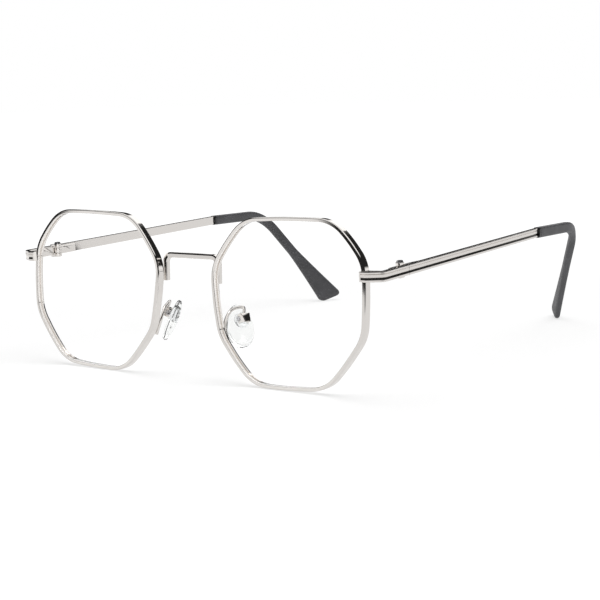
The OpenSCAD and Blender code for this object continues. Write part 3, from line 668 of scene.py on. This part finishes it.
upright = moved(0, BRIDGE_Y, BRIDGE_UP - BRIDGE_WIRE / 2) @ turned(math.pi / 2, "X")
finish_piece(
    "bridge_wire", swept("bridge_wire", bridge_path, BRIDGE_SECTION), place(upright),
    SILVER, "front", "polished_silver", "bridge",
)
print("bridge:", round(2 * (bridge_bar + BRIDGE_BEND), 2), "mm over its legs")

# %% [markdown]
# The grooved strip
#
# Endpieces and arms are one rolled strip, 2.85 mm high and 1.3 mm thick. Its outer face has two
# flat rails, and each rail leans back along its upper side: the lower one into a groove, the upper
# one to the top edge. A fine line is cut into the upper rail. The two leaning shoulders look up
# past the bright table into the dark room, and they are the two dark stripes along the arm. The
# section is a list of points, each with the radius of its softened corner.

# %% Section of the strip
GROOVE_AT, LOWER_TURN, LOWER_FALL = -0.18, -0.84, 0.22
UPPER_TURN, UPPER_FALL = 1.18, 0.075
LINE_AT, LINE_W, LINE_DEEP = 0.7, 0.22, 0.2
GROOVE_SIDE, UPPER_SET, UPPER_FLAT = 0.09, 0.02, 0.25
STRIP_EDGE = 0.25
LIP = 0.04
INNER_EDGE = 0.08
edge_up = STRIP_H / 2
STRIP_SECTION = soften([
    (0, -edge_up, INNER_EDGE), (STRIP_T, -edge_up, STRIP_EDGE),
    (STRIP_T, LOWER_TURN, 0.1), (STRIP_T - LOWER_FALL, GROOVE_AT, LIP),
    (STRIP_T - UPPER_SET, GROOVE_AT + GROOVE_SIDE, LIP), (STRIP_T, LINE_AT - UPPER_FLAT, 0),
    (STRIP_T, LINE_AT - LINE_W / 2, 0.03), (STRIP_T - LINE_DEEP, LINE_AT, 0.02),
    (STRIP_T, LINE_AT + LINE_W / 2, 0.03), (STRIP_T, UPPER_TURN, 0.06),
    (STRIP_T - UPPER_FALL, edge_up, LIP), (0, edge_up, INNER_EDGE),
], steps=3, hold=0.005)
print("strip section:", len(STRIP_SECTION), "points")

# %% [markdown]
# Endpieces and arms
#
# The endpiece starts flat on the rim's face, where a plain tab closes it. It sweeps back beside the
# rim after a soft bend, turns into the arm's line with a second one and ends in a seam behind the
# hinge axis, where the arm goes on. The arm's far end is a tang inside the tip, so the strip stops
# at the tip's mouth.

# %% Sweep the endpieces and the arms
rim_temple_y = sag(math.hypot(OPENING_W / 2, HINGE.z)) + OPENING_W / 2 * math.sin(WRAP)
END_REACH = (HINGE.y - rim_temple_y + END_GAP) / math.cos(RISE) + STRIP_T
end_inner = LENS_X + OPENING_W / 2 - HINGE.x
END_TAB = 0.4
TAB_EDGE = 0.3
TAB_BACK, TAB_FACE, TAB_LAP = 0.05, STRIP_T - 0.02, 0.02
tab_path = [Vector((end_inner + x, STRIP_T - END_REACH, 0)) for x in (-END_TAB, TAB_LAP)]
TAB_SECTION = soften([
    (TAB_BACK, -edge_up, INNER_EDGE), (TAB_FACE, -edge_up, TAB_EDGE),
    (TAB_FACE, edge_up, TAB_EDGE), (TAB_BACK, edge_up, INNER_EDGE),
])
soft_x = end_inner + END_FLAT
lean_x, lean_y = math.cos(END_SWEEP), math.sin(END_SWEEP)
swept_len = (STRIP_IN + STRIP_T - soft_x - END_SOFT * lean_y - END_BEND * (1 - lean_y)) / lean_x
bend_y = END_SOFT * (1 - lean_x) + swept_len * lean_y + END_BEND * lean_x - END_REACH
heading = math.degrees(END_SWEEP) - 90
endpiece_path = (
    [Vector((end_inner, STRIP_T - END_REACH, 0))]
    + arc((soft_x, END_SOFT - END_REACH), END_SOFT - STRIP_T, -90, heading, 12)
    + arc((STRIP_IN + STRIP_T - END_BEND, bend_y), END_BEND - STRIP_T, heading, 0, 18)
    + [Vector((STRIP_IN, SEAM_BACK - SEAM_GAP, 0))]
)
arm_path = [Vector((STRIP_IN, SEAM_BACK + SEAM_GAP, 0)), Vector((STRIP_IN, ARM_LENGTH, 0))]

for side in SIDES:
    for name, path, section, body, node in (
        ("endpiece_tab", tab_path, TAB_SECTION, "front", "endpiece"),
        ("endpiece_strip", endpiece_path, STRIP_SECTION, "front", "endpiece"),
        ("arm_strip", arm_path, STRIP_SECTION, side + "_temple", "temple_arm"),
    ):
        mesh = swept(f"{side}_{name}", path, section)
        finish_piece(
            f"{side}_{name}", mesh, place(ON_TEMPLE, side), SILVER, body, "polished_silver",
            f"{side}_{node}",
        )
print("arm:", round((arm_path[1] - arm_path[0]).length, 1), "mm from seam to tip")

# %% [markdown]
# Softened solids
#
# Closing blocks, hinge leaves, pad boxes and the pads' discs have the right shape as they are,
# but their edges are dead sharp. A copy of the solid is merged, its flat faces are joined, and a
# Bevel modifier rounds the edges. The copy is then shown in place of the solid, which is hidden.

# %% Bevel copies of small solids
def softened(node, name, width_mm, material, body):
    work = bmesh.new()
    work.from_mesh(frame["nodes"][node].data)
    bmesh.ops.remove_doubles(work, verts=work.verts, dist=2e-6)
    bmesh.ops.dissolve_limit(
        work, angle_limit=math.radians(1), verts=work.verts, edges=work.edges,
        use_dissolve_boundaries=False,
    )
    mesh = bpy.data.meshes.new(name)
    work.to_mesh(mesh)
    work.free()
    source = new_object(name, mesh)
    bevel = source.modifiers.new("Soft edges", "BEVEL")
    bevel.width = width_mm / 1000
    bevel.segments = 3
    bevel.angle_limit = math.radians(30)
    graph = bpy.context.evaluated_depsgraph_get()
    baked = bpy.data.meshes.new_from_object(source.evaluated_get(graph), depsgraph=graph)
    bpy.data.objects.remove(source)
    dress(name, baked, material, body, [node])


for side in SIDES:
    for node, name, width, body in (
        ("lock_upper", "closing_block_upper", 0.12, "front"),
        ("lock_lower", "closing_block_lower", 0.12, "front"),
        ("front_hinge", "hinge_leaf_front", 0.1, "front"),
        ("temple_hinge", "hinge_leaf_temple", 0.1, side + "_temple"),
        ("pad_box", "pad_cup", 0.1, "front"),
    ):
        softened(f"{side}_{node}", f"{side}_{name}", width, SILVER, body)
    softened(
        side + "_pad_insert", side + "_pad_disc", 0.08, INSERT_PLASTIC, side + "_pad"
    )
print("softened solids:", 2 * 6)

# %% [markdown]
# Screws
#
# Six tiny slotted screws hold the pair together: one in each hinge, one in each closing block and
# one in each pad box. They differ only in size, so one tree makes a screw from a few radii and
# lengths, cuts its slot, and puts one on every point of a mesh, turned as that point says.

# %% The tree that makes slotted screws
def screw_tree():
    lengths = ("Shank radius", "Shank length", "Head radius", "Head height", "Slot width")
    tree, given = group_of(
        "Slotted screws", [(label, "Float") for label in lengths] + [("Material", "Material")]
    )
    times = {"operation": "MULTIPLY"}
    exact = {"solver": "EXACT"}
    shank = add_node(
        tree, "GeometryNodeMeshCylinder",
        Vertices=32, Radius=given["Shank radius"], Depth=given["Shank length"],
    )
    down = add_node(tree, "ShaderNodeMath", times, _0=given["Shank length"], _1=-0.5)
    sunk = add_node(tree, "ShaderNodeCombineXYZ", _2=down)
    shank_at = add_node(tree, "GeometryNodeTransform", _0=shank, Translation=sunk)
    narrow = add_node(tree, "ShaderNodeMath", times, _0=given["Head radius"], _1=0.8)
    head = add_node(
        tree, "GeometryNodeMeshCone", Vertices=40, Radius_Bottom=given["Head radius"], Radius_Top=narrow,
        Depth=given["Head height"],
    )
    long = add_node(tree, "ShaderNodeMath", times, _0=given["Head radius"], _1=3.0)
    size = add_node(tree, "ShaderNodeCombineXYZ", _0=long, _1=given["Slot width"], _2=given["Head height"])
    slot = add_node(tree, "GeometryNodeMeshCube", Size=size)
    on_top = add_node(tree, "ShaderNodeCombineXYZ", _2=given["Head height"])
    slot_at = add_node(tree, "GeometryNodeTransform", _0=slot, Translation=on_top)
    cut = add_node(
        tree, "GeometryNodeMeshBoolean", {"operation": "DIFFERENCE", **exact}, _0=head, _1=slot_at
    )
    both = add_node(tree, "GeometryNodeMeshBoolean", {"operation": "UNION", **exact})
    tree.links.new(cut.outputs[0], both.inputs[1])
    tree.links.new(shank_at.outputs[0], both.inputs[1])
    turn = add_node(tree, "GeometryNodeInputNamedAttribute", {"data_type": "FLOAT_VECTOR"}, Name="turn")
    turn_by = add_node(tree, "FunctionNodeEulerToRotation", _0=turn)
    points = add_node(tree, "GeometryNodeMeshToPoints", Mesh=given["Geometry"])
    each = add_node(
        tree, "GeometryNodeInstanceOnPoints", Points=points, Instance=both, Rotation=turn_by
    )
    end_group(tree, each, given["Material"])
    return tree


SCREWS = screw_tree()


# %% Put the screws in
def screws(name, sites, sizes, nodes):
    """One mesh with a screw at each site; a site is a matrix whose z axis leaves through the head."""
    mesh = bpy.data.meshes.new(name)
    mesh.from_pydata([tuple(site.translation) for site in sites], [], [])
    turns = mesh.attributes.new("turn", "FLOAT_VECTOR", "POINT")
    for i, site in enumerate(sites):
        turns.data[i].vector = site.to_3x3().normalized().to_euler()
    made = made_by(SCREWS, new_object(name, mesh), Material=STEEL, **sizes)
    finish_piece(name, made, Matrix.Identity(4), STEEL, "front", "screw_steel", *nodes)


PAD_SPLAY = math.radians(29)
PAD_LEAN = math.radians(22)
ON_PAD = moved(NOSE_GAP / 2 + 3.2, 10.1, -6.2) @ turned(-PAD_SPLAY, "Z") @ turned(-PAD_LEAN, "Y")
BOX_W = 3
LOCK_W, LOCK_H, LOCK_START = 2.3, 1.3, 1.5
LOCK_INSET, LOCK_AXIS_IN, LOCK_HEAD = 0.1, 1.05, 0.5
rim_out = OPENING_W / 2 + RIM_T
lock_near = sag(math.hypot(rim_out - LOCK_START, LOCK_UP)) + LOCK_INSET
lock_far = sag(math.hypot(rim_out + LOCK_W, LOCK_UP)) + RIM_DEPTH
head_top = LOCK_UP - RIM_SLIT / 2 - LOCK_H + LOCK_HEAD
lock_axis = moved(rim_out + LOCK_W - LOCK_AXIS_IN, head_top, -(lock_near + lock_far) / 2)

screw_kinds = (
    ("hinge_screws", "hinge_screw", ON_TEMPLE @ moved(0, 0, BARREL_H / 2), dict(
        Shank_radius=0.65, Shank_length=BARREL_H, Head_radius=1.0, Head_height=0.5, Slot_width=0.3,
    )),
    ("closing_screws", "lock_screw", ON_LENS @ lock_axis @ turned(math.pi / 2, "X"), dict(
        Shank_radius=0.45, Shank_length=1.9, Head_radius=0.75, Head_height=LOCK_HEAD, Slot_width=0.22,
    )),
    ("pad_screws", "pad_screw", ON_PAD @ moved(0, -BOX_W / 2, 0) @ turned(math.pi / 2, "X"), dict(
        Shank_radius=0.45, Shank_length=BOX_W + 0.2, Head_radius=0.8, Head_height=0.45, Slot_width=0.22,
    )),
)
for name, node, local, sizes in screw_kinds:
    sites = [place(local, side) @ Matrix.Diagonal((SIDES[side], 1, 1, 1)) for side in SIDES]
    metres = {key: value / 1000 for key, value in sizes.items()}
    screws(name, sites, metres, [f"{side}_{node}" for side in SIDES])
print("screws:", len(screw_kinds) * len(SIDES))

# %% [markdown]
# Nose pads
#
# A pad is an egg-shaped cushion of clear silicone, 12.6 mm high and 8.4 mm wide, crowned where it
# touches the nose and rounded all round its edge. It is lofted from rings of the egg outline:
# flat on its back, round the edge, then up over the crown.

# %% Loft the nose pads
PAD_W, PAD_H, PAD_T = 8.4, 12.6, 2.3
PAD_FACE = -1.15
PAD_FORE, PAD_DROP = 0.8, 1.7
PAD_CROWN = 15
PAD_EGG = 0.14
PAD_ROUND = 0.14


def pad_ring(share, x):
    ring = []
    for k in range(64):
        angle = 2 * math.pi * k / 64
        across = PAD_W / 2 * math.cos(angle) * (1 - PAD_EGG * math.sin(angle))
        ring.append(Vector((x, across * share - PAD_FORE, PAD_H / 2 * math.sin(angle) * share - PAD_DROP)))
    return ring


def crown_fall(share):
    """How far the nose side falls back from its middle, at a share of the pad's size."""
    reach = share * (PAD_W + PAD_H) / 4
    return PAD_CROWN - math.sqrt(PAD_CROWN ** 2 - reach ** 2)


def pad_rings():
    back = [pad_ring(share, PAD_FACE) for share in (0.15, 0.4, 0.65, 0.82)]
    edge_thick = PAD_T - crown_fall(1 - PAD_ROUND / 2)
    edge = []
    for k in range(1, 12):
        angle = math.pi * k / 12
        depth = edge_thick * (1 - math.cos(angle)) / 2
        edge.append(pad_ring(1 - PAD_ROUND + PAD_ROUND * math.sin(angle), PAD_FACE - depth))
    nose_side = [pad_ring(s, PAD_FACE - PAD_T + crown_fall(s)) for s in (0.82, 0.72, 0.6, 0.46, 0.3, 0.15)]
    return back + edge + nose_side


for side in SIDES:
    mesh = loft(side + "_pad_cushion", pad_rings())
    finish_piece(
        side + "_pad_cushion", mesh, place(ON_PAD, side), SILICONE, side + "_pad", "clear_silicone",
        side + "_nose_pad",
    )
print("pads:", PAD_W, "x", PAD_H, "mm")

# %% [markdown]
# Pad wires
#
# The pad wire is brazed behind the rim, runs up, turns back over itself in a tight arch and
# comes down on the pad's box. Its path is a smooth curve through the same few points as the
# solid's. It leaves every plane, so it is swept like the rest but with a round section, which
# needs no upright.

# %% Sweep the pad wires
WIRE_R, WIRE_GAP = 0.45, 0.05
BOX_FRONT = 0.75
BOX_D, BOX_H = 2.1, 2.6
WIRE_OFFSETS = ((0.9, 0, -2.2), (0, 0, 0), (-0.7, 0.5, 2.8), (-0.5, 2, 5.4), (-0.2, 3.8, 6.5))
foot_sag = sag(math.hypot(OPENING_W / 2, NOSE_LOW)) - OPENING_W / 2 * math.sin(WRAP)
foot_y = foot_sag + RIM_DEPTH + WIRE_R + WIRE_GAP
WIRE_FOOT = Vector((LENS_X - OPENING_W / 2 + NOSE_IN - RIM_T / 2, foot_y, -NOSE_LOW))
seat = Vector((BOX_D - BOX_FRONT - WIRE_R, 0, BOX_H / 2 + WIRE_GAP))
above_seat = seat + Vector((0, 0, 1.7))
wire_knots = [WIRE_FOOT + Vector(offset) for offset in WIRE_OFFSETS] + [ON_PAD @ above_seat, ON_PAD @ seat]


def smooth_curve(knots, steps=12):
    """A curve that passes through every knot, each stretch shaped by the knots beside it."""
    points = []
    last = len(knots) - 1
    for i in range(last):
        a, b, c, d = knots[max(0, i - 1)], knots[i], knots[i + 1], knots[min(last, i + 2)]
        square, cube = 2 * a - 5 * b + 4 * c - d, 3 * b - a - 3 * c + d
        for k in range(steps):
            t = k / steps
            points.append(0.5 * (2 * b + (c - a) * t + square * t * t + cube * t ** 3))
    return points + [knots[last]]


angles = [math.pi * k / 8 for k in range(16)]
round_section = [WIRE_R * Vector((math.cos(angle), math.sin(angle))) for angle in angles]
for side in SIDES:
    mesh = swept(side + "_pad_wire", smooth_curve(wire_knots), round_section)
    finish_piece(
        side + "_pad_wire", mesh, place(Matrix.Identity(4), side), SILVER, "front", "polished_silver",
        side + "_pad_arm",
    )
print("pad wire knots:", len(wire_knots))

# %% [markdown]
# Tips
#
# The tip is a moulded sleeve: a rounded box in section that follows the arm, rolls inwards as it
# bends over the ear, then widens and thins to a paddle. No single sweep does that, so it is
# lofted: at each station along its length a section is worked out from its own width, thickness
# and turn. The section turns back by the ear roll, which keeps the sleeve in line with the arm.

# %% Stations along the tip
EAR_BEND_R, EAR_AT, EAR_ANGLE = 13, 105, math.radians(61)
TIP_DROP, TIP_H, TIP_T = 41.54, 3.3, 2.3
PADDLE_W, PADDLE_FROM, PADDLE_T, PADDLE_R = 8.4, 0.3, 2, 2
PADDLE_TWIST, PADDLE_SLANT = math.radians(15), math.radians(20)
bend_reach = EAR_BEND_R * math.tan(EAR_ANGLE / 2)
BEND_Y = EAR_AT - ARM_LENGTH - bend_reach
BEND_LEN = EAR_BEND_R * EAR_ANGLE
DROP_LEN = TIP_DROP - bend_reach
TIP_LEN = BEND_Y + BEND_LEN + DROP_LEN
SECTION_SIDES = 40
SECTION_POWER = 0.55
FLARE_POWER = 1.2
END_THINNING = 0.35


def tip_angle(s):
    return EAR_ANGLE * min(1, max(0, s - BEND_Y) / BEND_LEN)


def tip_point(s):
    angle = tip_angle(s)
    run = max(0, s - BEND_Y - BEND_LEN)
    y = min(s, BEND_Y) + EAR_BEND_R * math.sin(angle) + run * math.cos(EAR_ANGLE)
    return Vector((0, y, EAR_BEND_R * (math.cos(angle) - 1) - run * math.sin(EAR_ANGLE)))


def drawn_out(c):
    """A cosine drawn out towards the corners, which turns an ellipse into a rounded box."""
    return math.copysign(abs(c) ** SECTION_POWER, c)


def tip_ring(s, shrink=0.0):
    drop = max(0, (s - BEND_Y - BEND_LEN) / DROP_LEN)
    flare = max(0, drop - PADDLE_FROM) / (1 - PADDLE_FROM)
    past = max(0, s - TIP_LEN + PADDLE_R)
    rounded = PADDLE_R - math.sqrt(max(0, PADDLE_R ** 2 - past ** 2))
    half_w = TIP_H / 2 + (PADDLE_W - TIP_H) / 2 * flare ** FLARE_POWER - rounded - shrink
    half_t = (TIP_T + (PADDLE_T - TIP_T) * drop) / 2 - END_THINNING * rounded - shrink
    angle = tip_angle(s)
    up = Vector((0, math.sin(angle), math.cos(angle)))
    along = Vector((0, math.cos(angle), -math.sin(angle)))
    turn = EAR_ROLL + PADDLE_TWIST * angle / EAR_ANGLE
    wide = math.cos(turn) * up - Vector((math.sin(turn), 0, 0)) + math.tan(PADDLE_SLANT) * flare * along
    thin = math.sin(turn) * up + Vector((math.cos(turn), 0, 0))
    ring = []
    for k in range(SECTION_SIDES):
        a = 2 * math.pi * (k + 0.5) / SECTION_SIDES
        across = wide * half_w * drawn_out(math.cos(a)) + thin * half_t * drawn_out(math.sin(a))
        ring.append(tip_point(s) + across)
    return ring


# %% Loft the tips and their dark collars
# The collar is a slightly sunken ring at the tip's mouth, coloured near-black as painted shade.
COLLAR = 1.1
LIP_R = 0.12


def lip(at, outwards):
    """Stations and shrinks that round the edge of a ring's end face."""
    steps = [(math.sin(math.pi * k / 8), math.cos(math.pi * k / 8)) for k in range(5)]
    return [(at + outwards * LIP_R * (1 - b), LIP_R * (1 - a)) for a, b in reversed(steps)]


def spread(start, stop, count):
    return [start + (stop - start) * k / count for k in range(count + 1)]


COLLAR_GAP = 0.02
sleeve_start = COLLAR + COLLAR_GAP
stations = (
    [(s, d) for s, d in reversed(lip(sleeve_start, 1))]
    + [(s, 0) for s in spread(sleeve_start + LIP_R, BEND_Y, 10)[1:]]
    + [(s, 0) for s in spread(BEND_Y, BEND_Y + BEND_LEN, 28)[1:]]
    + [(s, 0) for s in spread(BEND_Y + BEND_LEN, TIP_LEN - PADDLE_R, 30)[1:]]
    + [(TIP_LEN - PADDLE_R + PADDLE_R * math.sin(math.radians(a)), 0) for a in range(8, 89, 8)]
)
collar_stations = [
    (0.06, 0.25), (0.06, 0.06), (0.12, 0.02), (COLLAR - 0.06, 0.02), (COLLAR, 0.06), (COLLAR, 0.25),
]

for side in SIDES:
    body = side + "_temple"
    mesh = loft(side + "_ear_tip", [tip_ring(s, d) for s, d in stations])
    finish_piece(
        side + "_ear_tip", mesh, place(ON_TIP, side), CHARCOAL, body, "charcoal_acetate",
        side + "_tip", side + "_core_wire",
    )
    mesh = loft(side + "_tip_collar", [tip_ring(s, d) for s, d in collar_stations])
    finish_piece(side + "_tip_collar", mesh, place(ON_TIP, side), COLLAR_PAINTED_SHADE, body, "charcoal_acetate")
print("tip stations:", len(stations))

# %% [markdown]
# Studio
#
# The photograph is a plain product shot on a white table. Polished metal shows the room, so the
# room matters more than the lamps. Past the table it is dark, with low white walls, a window
# ahead on the wearer's right, a bright ceiling that is dimmer straight above, and a bright wall
# behind.
# The world draws that room for reflections only. The camera sees white, and so do rays that pass
# through the lenses. Plain even light falls on the object, and the floor keeps its shadow.

# %% The room that the metal reflects
world = bpy.data.worlds.new("Studio")
bpy.context.scene.world = world
world.use_nodes = True
tree = world.node_tree
tree.nodes.clear()
towards = add_node(tree, "ShaderNodeTexCoord").outputs["Generated"]
direction = add_node(tree, "ShaderNodeSeparateXYZ", _0=towards)
height = add_node(tree, "ShaderNodeMath", {"operation": "ARCSINE"}, _0=direction.outputs[2])
times = {"operation": "MULTIPLY"}
ahead = add_node(tree, "ShaderNodeMath", times, _0=direction.outputs[1], _1=-1.0)
turn = add_node(tree, "ShaderNodeMath", {"operation": "ARCTAN2"}, _0=direction.outputs[0], _1=ahead)


def fade(value, start, stop, soft):
    """1 between two angles in degrees, 0 outside them, with a soft edge."""
    a, b, c = (math.radians(angle) for angle in (start, stop, soft))
    smooth = {"interpolation_type": "SMOOTHSTEP"}
    rise = add_node(tree, "ShaderNodeMapRange", smooth, Value=value, From_Min=a - c, From_Max=a + c)
    fall = add_node(
        tree, "ShaderNodeMapRange", smooth,
        Value=value, From_Min=b - c, From_Max=b + c, To_Min=1.0, To_Max=0.0,
    )
    return add_node(tree, "ShaderNodeMath", times, _0=rise, _1=fall)


# Each bright thing: azimuths from straight ahead of the glasses, heights, softness, brightness
DARK_ROOM = 0.02
ROOM = (
    (-185, -140, -20, 5.6, 0.8, 1.0),
    (-140, -95, -20, 4, 0.8, 1.0),
    (95, 185, -20, 9, 2, 1.0),
    (-52, -28, -20, 14, 2, 0.95),
    (-190, 190, 42, 68, 3, 1.15),
    (-190, 190, 60, 100, 6, 0.7),
    (-190, -148, 18, 60, 3, 1.3),
)
most = {"operation": "MAXIMUM"}
glow = DARK_ROOM
for first, last, low, high, soft, brightness in ROOM:
    beside, above = fade(turn, first, last, soft), fade(height, low, high, soft)
    patch = add_node(tree, "ShaderNodeMath", times, _0=beside, _1=above)
    lit = add_node(tree, "ShaderNodeMath", times, _0=patch, _1=brightness)
    glow = add_node(tree, "ShaderNodeMath", most, _0=glow, _1=lit)

path = add_node(tree, "ShaderNodeLightPath")
seen_ray, passed_ray = path.outputs["Is Camera Ray"], path.outputs["Is Transmission Ray"]
clear = add_node(tree, "ShaderNodeMath", most, _0=seen_ray, _1=passed_ray)
ambient = add_node(tree, "ShaderNodeBackground", Color=(1, 1, 1, 1), Strength=0.12)
mirrored = add_node(tree, "ShaderNodeBackground", Color=(1, 1, 1, 1), Strength=glow)
white = add_node(tree, "ShaderNodeBackground", Color=(1, 1, 1, 1), Strength=1.0)
glossy = add_node(tree, "ShaderNodeMixShader", _0=path.outputs["Is Glossy Ray"], _1=ambient, _2=mirrored)
final = add_node(tree, "ShaderNodeMixShader", _0=clear, _1=glossy, _2=white)
add_node(tree, "ShaderNodeOutputWorld", _0=final)
print("bright things in the room:", len(ROOM))

# %% [markdown]
# Floor
#
# The table is white paper. Its own shading holds the faint contact shadows, and a share of plain
# white keeps the rest of it at the white of the photograph. That share grows away from the
# glasses, so the table has no visible horizon. In reflections it ends in front of the camera, as a
# real table does, so that metal turned that way shows a dark line.

# %% White table
TABLE_EDGE = 0.28
TABLE_TURN = Vector((0.866, -0.5, 0))
TABLE_WHITE, TABLE_DARK = 0.86, 0.02
EDGE_SOFT = 0.02
PAPER_SHARE, PAPER_WHITE = 0.6, 1.12
SHADOWS_FROM, SHADOWS_TO = 0.13, 0.32


def table_material():
    material, tree, place_on = new_material("White paper on the table")
    path = add_node(tree, "ShaderNodeLightPath")
    grain = add_node(tree, "ShaderNodeTexNoise", Vector=place_on, Scale=400.0)
    bump = add_node(tree, "ShaderNodeBump", Height=grain, Strength=0.02, Distance=0.0002)
    lit = add_node(tree, "ShaderNodeBsdfDiffuse", Color=linear("#f4f4f4"), Normal=bump)
    white = add_node(tree, "ShaderNodeEmission", Color=(1, 1, 1, 1), Strength=PAPER_WHITE)
    distance = add_node(tree, "ShaderNodeVectorMath", {"operation": "LENGTH"}, _0=place_on)
    share = add_node(
        tree, "ShaderNodeMapRange", Value=distance.outputs["Value"],
        From_Min=SHADOWS_FROM, From_Max=SHADOWS_TO, To_Min=PAPER_SHARE, To_Max=1.0,
    )
    seen = add_node(tree, "ShaderNodeMixShader", _0=share, _1=lit, _2=white)
    towards = add_node(
        tree, "ShaderNodeVectorMath", {"operation": "DOT_PRODUCT"}, _0=place_on, _1=TABLE_TURN
    )
    edge = add_node(
        tree, "ShaderNodeMapRange", Value=towards.outputs["Value"],
        From_Min=TABLE_EDGE - EDGE_SOFT, From_Max=TABLE_EDGE + EDGE_SOFT, To_Min=TABLE_WHITE,
        To_Max=TABLE_DARK,
    )
    far_off = add_node(tree, "ShaderNodeEmission", Color=(1, 1, 1, 1), Strength=edge)
    mirrored = add_node(tree, "ShaderNodeMixShader", _0=PAPER_SHARE, _1=lit, _2=far_off)
    bounced = add_node(
        tree, "ShaderNodeMath", {"operation": "SUBTRACT", "use_clamp": True},
        _0=path.outputs["Is Glossy Ray"], _1=path.outputs["Is Transmission Ray"],
    )
    either = add_node(tree, "ShaderNodeMixShader", _0=bounced, _1=seen, _2=mirrored)
    add_node(tree, "ShaderNodeOutputMaterial", _0=either)
    return material


bpy.ops.mesh.primitive_plane_add(size=6)
floor = bpy.context.object
floor.name = "studio_floor"
floor.data.materials.append(table_material())
floor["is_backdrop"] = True
print("shadows fade out by", SHADOWS_TO, "m")

# %% [markdown]
# The soft box
#
# One large lamp high above gives the plain light and the faint shadows. Metal doesn't mirror it,
# because the ceiling of the room is already there and is dim enough to keep the arms' upper faces
# from turning white.

# %% Soft box
LAMP_AT = Vector((0.3, 0.2, 3.0))
LAMP_WIDE, LAMP_POWER = 3, 95
lamp = bpy.data.lights.new("Soft box high above", "AREA")
lamp.shape = "SQUARE"
lamp.size = LAMP_WIDE
lamp.energy = LAMP_POWER
soft_box = new_object("Soft box high above", lamp)
soft_box.location = LAMP_AT
soft_box.rotation_euler = (-LAMP_AT).to_track_quat("-Z", "Y").to_euler()
soft_box.visible_glossy = False
bpy.context.scene.view_settings.view_transform = "Standard"
print("soft box:", LAMP_WIDE, "m wide")

# %% [markdown]
# Camera
#
# The picture was taken from 36 degrees to the wearer's left of straight ahead and 9 degrees
# above, half a metre away, with the field of view of an 89 mm lens. The camera also leans two
# degrees sideways.

# %% Camera at the photograph's viewing angle
CAMERA_AT = Vector((270.75, -383.69, 84.39))
AZIMUTH, ELEVATION, ROLL = math.radians(36.29), math.radians(8.65), math.radians(-1.99)
forward = Vector((
    -math.sin(AZIMUTH) * math.cos(ELEVATION), math.cos(AZIMUTH) * math.cos(ELEVATION), -math.sin(ELEVATION)
))
level_right = Vector((math.cos(AZIMUTH), math.sin(AZIMUTH), 0))
level_up = level_right.cross(forward)
right = math.cos(ROLL) * level_right + math.sin(ROLL) * level_up
up = math.cos(ROLL) * level_up - math.sin(ROLL) * level_right
camera_data = bpy.data.cameras.new("Camera")
camera_data.lens = 88.86
camera_data.sensor_width = 36
camera = new_object("Camera", camera_data)
basis = Matrix((right, up, -forward)).transposed().to_4x4()
camera.matrix_world = Matrix.Translation(CAMERA_AT / 1000) @ basis
camera_data.clip_start = 0.01
bpy.context.scene.camera = camera
print("camera:", camera_data.lens, "mm lens")

# %% [markdown]
# Sizes at the end
#
# The dressed part is meant to stay inside its solids' box; both boxes are printed.

# %% Print the two boxes and finish
seen_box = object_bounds()
for name, box in (("solids", cad_box), ("dressed", seen_box)):
    print(name, [round(1000 * (hi - lo), 2) for lo, hi in zip(*box)], "mm")
